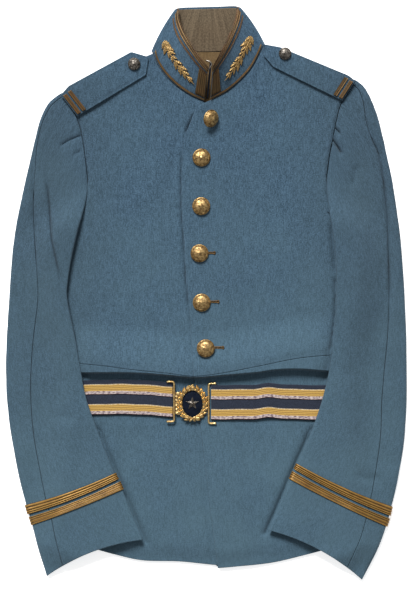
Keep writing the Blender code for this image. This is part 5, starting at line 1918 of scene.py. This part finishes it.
@dataclass(frozen=True)
class ShoulderStrap:
    """A shoulder strap with two gold bars and a small button."""

    shop: Workshop
    side: Side
    lower: tuple[Pair, ...]
    upper: tuple[Pair, ...]
    button: Pair
    inner_floor: float = 10.4
    rise: float = 1.0
    wall: float = 2.2
    step: float = 2.2
    bar_starts: Pair = (1.5, 9.5)
    bar_width: float = 6.0
    bar_insets: Pair = (2.5, 1.5)
    bar_cords: int = 3
    bar_lift: float = 1.2
    bar_relief: float = 0.35
    bar_wall: float = 0.7

    def level(self, x: Array) -> Array:
        """Height of the strap's underside, which tilts up towards the sleeve."""
        return self.inner_floor + self.rise * (1 - ramp(np.abs(x), 85, 190))

    def strap(self) -> None:
        """Make the strap, softly padded between its edges."""
        grid = panel_between(along_spots(self.lower, 60), along_spots(self.upper, 60), self.step,
            lines=12)
        x, y, edge = np.moveaxis(grid, 2, 0)
        soft = 0.9 * (1 - fade(edge, 0, 8)) - 0.5 * (1 - fade(edge, 0, 2.5))
        swell = Drape((), 0.25, 31 + self.side.value).moves(x, y)[..., 2]
        swell = swell * (1 - fade(edge, 1, 8))
        outer = np.stack([x, y, self.level(x) + self.wall + soft - 0.5 + swell], axis=2)
        self.shop.sheet(f"shoulder_strap_{self.side.word}", Slot.WOOL, (outer, edge, grid[..., :2]),
            CLOTH, [f"front_{self.side.word}"])

    def bars(self) -> None:
        """Make the two gold bars across the strap's outer end."""
        low, high, inner = (np.array(spot) for spot in (self.lower[0], self.upper[0],
            self.lower[1]))
        over, inward = unit(high - low), unit(inner - low)
        for number, (start, inset) in enumerate(zip(self.bar_starts, self.bar_insets), 1):
            base, tip = low + over * 2.0, high - over * inset
            length = float(norm(tip - base))
            runs, share = rim_places(length, 1.2), np.linspace(0, 1, 6 * self.bar_cords + 1)
            across = share * self.bar_width
            spots = (base + over * runs[:, None, None] + inward * (start + across)[None, :, None])
            rise = self.wall + self.bar_lift + self.bar_relief * cord_relief(self.bar_cords, share)
            outer = np.dstack([spots, self.level(spots[..., 0]) + rise])
            piece = shell(f"strap_bar_{self.side.word}_{number}", outer, from_rim(runs, across),
                self.bar_wall, paired(runs[:, None], across[None]))
            self.shop.fasten(piece, Slot.BRAID)

    def build(self) -> None:
        """Make the strap, its bars and its button."""
        self.strap()
        self.bars()
        x, y = self.button
        level = float(self.level(np.array(x))) + self.wall + 0.75
        Button(17.0, 6.2).place(self.shop, f"strap_button_{self.side.word}", (x, y, level),
            Slot.SILVER)


@dataclass(frozen=True)
class Button:
    """A stamped dome button with a rolled rim, a ring of beads and a star."""

    diameter: float
    height: float
    beads: int = 36
    bead_reach: float = 0.80
    star_reaches: Pair = (0.66, 0.27)
    profile: Spots = ((0.90, 0.0), (0.97, 0.04), (1.0, 0.12), (0.995, 0.2), (0.96, 0.27),
        (0.91, 0.3), (0.885, 0.24), (0.86, 0.28), (0.80, 0.47), (0.70, 0.64), (0.58, 0.73),
        (0.44, 0.79), (0.3, 0.83), (0.15, 0.85), (0.02, 0.86))

    def dome_height(self, reach: Array) -> Array:
        """Height of the dome at a distance from the middle, as a share of the radius."""
        rows = self.profile[7:][::-1]
        return self.height * np.interp(reach, [row[0] for row in rows], [row[1] for row in rows])

    def parts(self) -> list[Object]:
        """The dome, the beads and the star, standing on the origin."""
        radius = self.diameter / 2
        profile = np.array(self.profile)[:, [0, 0, 1]] * (radius, radius, self.height)
        made = [turned("dome", profile)]
        reach = self.bead_reach
        for turn in np.linspace(0, 2 * pi, self.beads, endpoint=False):
            spot = (radius * reach * cos(turn), radius * reach * sin(turn),
                float(self.dome_height(np.array(reach))) + radius * 0.01)
            made.append(bead("bead", spot, radius * 0.055))
        reaches = np.tile(self.star_reaches, 5)
        base, top = self.dome_height(reaches), float(self.dome_height(np.array(0.0)))
        made.append(star((0.0, 0.0), reaches * radius, base - 0.3, base + 0.12, top + radius * 0.15,
            top - 0.6, 20))
        return made

    def place(self, shop: Workshop, name: str, spot: Triple, slot: Slot, tilt: float = 0.0,
            lean: float = 0.0) -> None:
        """Make the button and set it down.

        Args:
            shop: Where it is fastened.
            name: The piece's name.
            spot: Where the middle of its back goes.
            slot: Its slot.
            tilt: How far it is tipped over, in degrees.
            lean: How far the line that it is tipped about leans from the vertical.
        """
        button = joined(name, self.parts())
        raised = self.diameter / 2 * 0.97 * sin(radians(abs(tilt)))
        place = (Matrix.Translation(Vector((spot[0], spot[1], spot[2] + raised)) * MM)
            @ Matrix.Rotation(radians(-lean), 4, "Z") @ Matrix.Rotation(radians(tilt), 4, "Y"))
        button.data.transform(place)
        shop.fasten(button, slot)


@dataclass(frozen=True)
class FrontButtons:
    """Six gilt buttons on the lapping front, and the buttonholes that show beside them."""

    plan: BodyPlan
    shop: Workshop
    diameter: float = 24.5
    height: float = 8.5
    places: Spots = ((5.6, 237, 38, 16), (-6.6, 184, 4, 0), (-6.9, 118, 0, 0), (-9.2, 54, 3, 0),
        (-6.2, -13, 0, 0), (-0.9, -75, 5, 0))
    holes: Spots = ((1.4, 11.0, 54.5), (4.6, 16.2, -11.8), (10.2, 22.8, -74.0))

    def level(self, x: float, y: float) -> float:
        """Height of the cloth under a button, at its highest."""
        turn = np.arange(7)
        xs = x + self.diameter / 2 * np.cos(turn)
        ys = y + self.diameter / 2 * np.sin(turn)
        return float(np.max(self.plan.floor(Side.LEFT, xs, ys))) + BODY_WALL + SEAM_GAP

    def build(self) -> None:
        """Make the buttons and the buttonholes."""
        for number, (x, y, tilt, lean) in enumerate(self.places, 1):
            button = Button(self.diameter, self.height)
            button.place(self.shop, f"front_button_{number}", (x, y, self.level(x, y)),
                Slot.OLD_GILT, tilt, lean)
        pieces = []
        for start, end, y in self.holes:
            x = np.linspace(start, end, 30)
            z = self.plan.floor(Side.LEFT, x, np.full(30, y)) + BODY_WALL + 0.35
            for offset in (-0.95, 0.95):
                path = np.stack([x, y + offset + 0.15 * np.sin(x * 5), z], axis=1)
                pieces.append(tube("thread", path, 0.65, 8))
            turn = np.linspace(-2.2, 2.2, 20)
            eye = np.stack([end + 1.2 * np.cos(turn), y + 1.7 * np.sin(turn),
                np.full(20, z[-1] + 0.2)], axis=1)
            pieces.append(tube("eye", eye, 0.75, 8))
        holes = joined("buttonhole_threads", pieces)
        self.shop.fasten(holes, Slot.BRAID, stands_in=False)


@dataclass(frozen=True)
class Belt:
    """A belt round the waist: dark webbing with two brocade stripes."""

    plan: BodyPlan
    shop: Workshop
    width: float = 50.0
    wall: float = 2.2
    level: float = 8.4
    under_level: float = 1.1
    turns: Pair = (-191.2, 192.2)
    buckle_gap: Pair = (-45.8, 6.6)
    stripe_width: float = 14.0
    stripe_pitch: float = 27.0
    stripe_drop: float = 1.3
    stripe_wall: float = 0.7
    step: float = 2.5
    wave: Triple = (84.0, 11.0, 1.6)

    def path(self) -> Array:
        """Places along the belt: x, height of its inner face, and its direction out."""
        low = self.under_level + self.wall
        middle, radius = (self.level + low) / 2, (self.level - low) / 2
        right, left = self.turns
        spots = []
        front_left = rim_places(left - self.buckle_gap[1], self.step) + self.buckle_gap[1]
        for x in front_left:
            spots.append((x, self.level + self.plan.lap_raise * float(ramp(x, 36, 82)), 0, 1))
        turn = np.radians(np.linspace(80, -80, 13))
        spots += [(left + radius * cos(a), middle + radius * sin(a), cos(a), sin(a)) for a in turn]
        spots += [(x, low, 0, -1) for x in np.linspace(left, right, 90)]
        spots += [(right - radius * cos(a), middle + radius * sin(a), -cos(a), sin(a))
            for a in turn[::-1]]
        front_right = right + rim_places(self.buckle_gap[0] - right, self.step)
        spots += [(x, self.level, 0, 1) for x in front_right]
        return np.array(spots, float)

    def strip(self, name: str, slot: Slot, offset: float, low: float, high: float,
            thickness: float) -> tuple[Object, Array]:
        """Make a strip all along the belt.

        Args:
            name: The piece's name.
            slot: Its slot.
            offset: How far its outer face is from the belt's inner face.
            low: Its lower edge, from the belt's middle line.
            high: Its upper edge.
            thickness: Its thickness.

        Returns:
            The strip and its outer face.
        """
        path = self.path()
        x, z, out_x, out_z = path.T
        run = run_lengths(path[:, :2])
        front = out_z >= 0
        ends = self.plan.belt.spots[0], self.plan.belt.spots[-1]
        behind = np.interp(x, [ends[0][0], ends[1][0]], [ends[0][1], ends[1][1]])
        centre = np.where(front, self.plan.belt.y_at(x), behind)
        levels = low + rim_places(high - low, 1.6)
        place, reach, lift = self.wave
        bump = lift * np.exp(-((x - place) / reach) ** 2) * front
        sway = 0.25 * np.sin(x / 17.0) + 0.2 * np.sin(x / 6.3 + 1)
        outer = np.stack(np.broadcast_arrays((x + out_x * offset)[:, None],
            (centre + bump * 0.7 + sway)[:, None] + levels, (z + out_z * offset + bump)[:, None]),
            axis=2)
        piece = shell(name, outer, from_rim(run, levels), thickness,
            paired(run[:, None], (levels - low)[None]), outer.mean(axis=(0, 1)))
        return self.shop.fasten(piece, slot), outer

    def build(self) -> None:
        """Make the webbing and its stripes."""
        half = self.width / 2
        webbing, face = self.strip("belt_backing", Slot.BELT, self.wall, 2 - half, half, CLOTH)
        stripes = []
        for name, centre in (("upper", self.stripe_pitch / 2), ("lower", -self.stripe_pitch / 2)):
            middle = centre - self.stripe_drop
            stripes.append(self.strip(f"belt_stripe_{name}", Slot.BROCADE, self.wall + 0.2
                + self.stripe_wall, middle - self.stripe_width / 2, middle + self.stripe_width / 2,
                self.stripe_wall)[0])
        self.shop.declare(webbing, face, ["back", "skirt_right", "skirt_left"], stripes)


@dataclass(frozen=True)
class Buckle:
    """The belt's buckle: end bars, flange, dark plate, laurel wreath and star."""

    shop: Workshop
    floor: float = 10.8
    centre: Pair = (-18.8, -150.0)
    opening: Pair = (12.0, 18.8)
    middle_line: Pair = (17.0, 20.6)
    plate_wall: float = 1.2
    plate_dome: Spots = ((1.0, 0.0), (1.0, 0.7), (0.97, 0.95), (0.85, 1.15), (0.6, 1.35),
        (0.3, 1.5), (0.02, 1.55))
    star_reaches: Pair = (9.2, 3.7)
    seat: float = 1.6
    bar_radius: float = 1.5
    bar_tip: float = 9.0
    bars: tuple[tuple[Side, float, float, float], ...] = ((Side.RIGHT, -43.7, -174.6, -120.4),
        (Side.LEFT, 3.2, -177.1, -122.9))
    leaf_steps: int = 10
    flange: Triple = (-23.0, -16.4, 15.0)

    def onto(self, base: Array, floor: float, heading: float) -> Layer:
        """A function that lays leaf coordinates flat at a place, floor and heading."""
        return laid_at(np.array((*base, floor)), np.array((cos(heading), sin(heading), 0.0)),
            np.array((0.0, 0.0, 1.0)))

    def end_bars(self) -> None:
        """Make the two end bars with their turned-out tips."""
        level = self.floor + self.bar_radius + 0.25
        for side, x, low, high in self.bars:
            out = x + side.value * self.bar_tip
            corner = 3.0 * side.value
            path = [(out, high, level), (x + 2 * corner, high, level), (x + corner, high, level),
                (x + 0.25 * corner, high - 0.75, level), (x, high - 3, level)]
            path += [(x, y, level) for y in np.linspace(high - 8, low + 8, 8)]
            path += [(x, low + 3, level), (x + 0.25 * corner, low + 0.75, level),
                (x + corner, low, level), (x + 2 * corner, low, level), (out, low, level)]
            line = smooth_rows(path, 120)
            share = np.linspace(0, 1, 120)
            ends = np.exp(-(np.minimum(share, 1 - share) / 0.012) ** 2)
            bar = tube(f"buckle_bar_{side.word}", line, self.bar_radius * (0.93 + 0.22 * ends), 16)
            self.shop.fasten(bar, Slot.GILT)

    def plate(self) -> None:
        """Make the dark plate, slightly domed, and the leafy flange beside it."""
        cx, cy = self.centre
        wide, tall = self.opening
        rings = [((wide + 3) * share, (tall + 2) * share, self.floor + rise)
            for share, rise in self.plate_dome]
        plate = turned("buckle_plate", np.array(rings), self.centre)
        self.shop.fasten(plate, Slot.ENAMEL)
        near, far, half = self.flange
        x = cx + rim_places(far - near, 0.8) + near
        y = cy + rim_places(2 * half, 0.8) - half
        ys, xs = np.meshgrid(y, x, indexing="ij")
        edge = from_rim(y, x)
        leafy = 0.35 * np.sin(2 * pi * (np.abs(ys - cy) / 5.2 + (xs - cx) / 9.0))
        outer = np.stack([xs, ys, self.floor + self.plate_wall + 0.2 + leafy * (edge > 0)], 2)
        flange = shell("buckle_flange", outer, edge, self.plate_wall, outer[..., :2])
        self.shop.fasten(flange, Slot.GILT)

    def wreath(self) -> None:
        """Make the laurel wreath: two branches of leaves with berries, tied at the foot."""
        cx, cy = self.centre
        rx, ry = self.middle_line
        floor = self.floor + self.seat
        pieces = []
        ring = np.linspace(0, 2 * pi, 121)
        stem = np.column_stack([cx + rx * np.cos(ring), cy + ry * np.sin(ring),
            np.full(len(ring), floor + 0.9)])
        pieces.append(tube("stem", stem, 1.0, 10))
        rng = np.random.default_rng(7)
        for branch in (-1, 1):
            for step in range(self.leaf_steps):
                turn = -pi / 2 + branch * (0.16 + step * (pi - 0.3) / (self.leaf_steps - 1) * 0.955)
                spot = np.array((cx + rx * cos(turn), cy + ry * sin(turn)))
                heading = atan2(branch * ry * cos(turn), -branch * rx * sin(turn))
                for spread, length, width, lift in ((0.42, 9.4, 4.2, 0.3), (-0.42, 8.8, 4.2, 0.3),
                        (0.0, 8.8, 3.8, 1.0)):
                    way = heading + spread + rng.uniform(-0.08, 0.08)
                    leaf = Leaf(length, width, 1.5, lift=lift)
                    pieces.append(leaf.build("leaf", self.onto(spot, floor, way), 0.25 + lift))
                if step % 2:
                    out = spot + 2.4 * branch * np.array((-sin(heading), cos(heading)))
                    pieces.append(bead("berry", (*out, floor + 2.0), 0.8))
        foot = np.array((cx, cy - ry))
        for way in (0.5, pi - 0.5, -0.75, pi + 0.75):
            leaf = Leaf(6.0, 3.0, 1.2)
            pieces.append(leaf.build("bow", self.onto(foot, floor, way), 1.2))
        pieces.append(bead("knot", (*foot, floor + 2.2), 1.7))
        wreath = joined("buckle_wreath", pieces)
        self.shop.fasten(wreath, Slot.GILT)

    def star(self) -> None:
        """Make the plain five-pointed star with its small boss."""
        cx, cy = self.centre
        floor = self.floor + self.seat
        reaches, floors = np.tile(self.star_reaches, 5), np.full(10, floor)
        made = star(self.centre, reaches, floors, floors + 0.7, floor + 2.5, floor, 15)
        emblem = joined("buckle_star", [made, bead("boss", (cx, cy, floor + 2.0), 1.9)])
        self.shop.fasten(emblem, Slot.SILVER)

    def build(self) -> None:
        """Make the whole buckle."""
        self.end_bars()
        self.plate()
        self.wreath()
        self.star()


# The scene


@dataclass(frozen=True)
class Studio:
    """Pale floor, soft light from the collar's side, and a camera straight above."""

    middle: Pair = (-0.34, -9.5)
    picture_height: float = 816.0
    lens: float = 350.0
    sensor: float = 36.0
    floor_half: float = 6.0
    floor_drop: float = 0.4
    floor_glow: float = 0.62
    key_strength: float = 4.6
    key_width: float = 20.0
    key_place: Triple = (-1.0, 3.4, 3.3)
    sky: float = 0.37

    def floor(self) -> None:
        """Make the plain pale floor."""
        half = self.floor_half / MM
        corners = [(-half, -half), (half, -half), (half, half), (-half, half)]
        ground = put_mesh("floor", np.array([(x, y, -self.floor_drop) for x, y in corners]),
            [(0, 1, 2, 3)])
        mat = Material("pale floor", Roughness=0.9, Emission_Color=(1, 1, 1, 1),
            Emission_Strength=self.floor_glow)
        cloud = mat.graph.noise(mat.solid, 3.0, 2.0)
        mat.feed("Base Color", mat.graph.blend(cloud, linear((250, 250, 250)),
            linear((252, 252, 252))))
        ground.data.materials.append(mat.made)

    def lights(self) -> None:
        """Make the key light and the sky."""
        data = bpy.data.lights.new("key", "SUN")
        data.energy = self.key_strength
        data.angle = radians(self.key_width)
        key = put_object("key", data)
        key.location = self.key_place
        aim = Vector((0, 0, 0)) - Vector(self.key_place)
        key.rotation_euler = aim.to_track_quat("-Z", "Y").to_euler()
        world = bpy.data.worlds.new("sky")
        world.use_nodes = True
        world.node_tree.nodes["Background"].inputs["Color"].default_value = (1, 1, 1, 1)
        world.node_tree.nodes["Background"].inputs["Strength"].default_value = self.sky
        bpy.context.scene.world = world
        bpy.context.scene.view_settings.view_transform = "Standard"

    def camera(self) -> None:
        """Make the camera, looking straight down."""
        data = bpy.data.cameras.new("camera")
        data.lens = self.lens
        data.sensor_width = self.sensor
        distance = self.picture_height * MM * self.lens / self.sensor
        data.clip_start, data.clip_end = 1.0, 40.0
        camera = put_object("camera", data)
        camera.location = (self.middle[0] * MM, self.middle[1] * MM, distance)
        bpy.context.scene.camera = camera

    def build(self) -> None:
        """Set the scene up."""
        self.camera()
        self.floor()
        self.lights()


def main() -> None:
    """Build the scene and report what was made."""
    logging.basicConfig(level=logging.INFO, format="%(name)s: %(message)s")
    Studio().build()
    shop = Workshop()
    TunicBody(PLAN, shop).build()
    for side in Side:
        Sleeve(PLAN, shop, side).build()
    Collar(PLAN, shop, CollarFace(PLAN)).build()
    ShoulderStrap(shop, Side.RIGHT, lower=((-175, 240), (-82, 296), (-78.5, 318)),
        upper=((-197.5, 269), (-187, 281), (-102, 327.5), (-79.5, 321)), button=(-98, 311)).build()
    ShoulderStrap(shop, Side.LEFT, lower=((185, 261), (91, 307), (78.5, 322)),
        upper=((202.5, 288), (193, 295.5), (100, 334), (77.5, 338)), button=(107, 325)).build()
    FrontButtons(PLAN, shop).build()
    Belt(PLAN, shop).build()
    Buckle(shop).build()
    LOG.info("%d pieces made", shop.count)


if __name__ == "__main__":
    main()
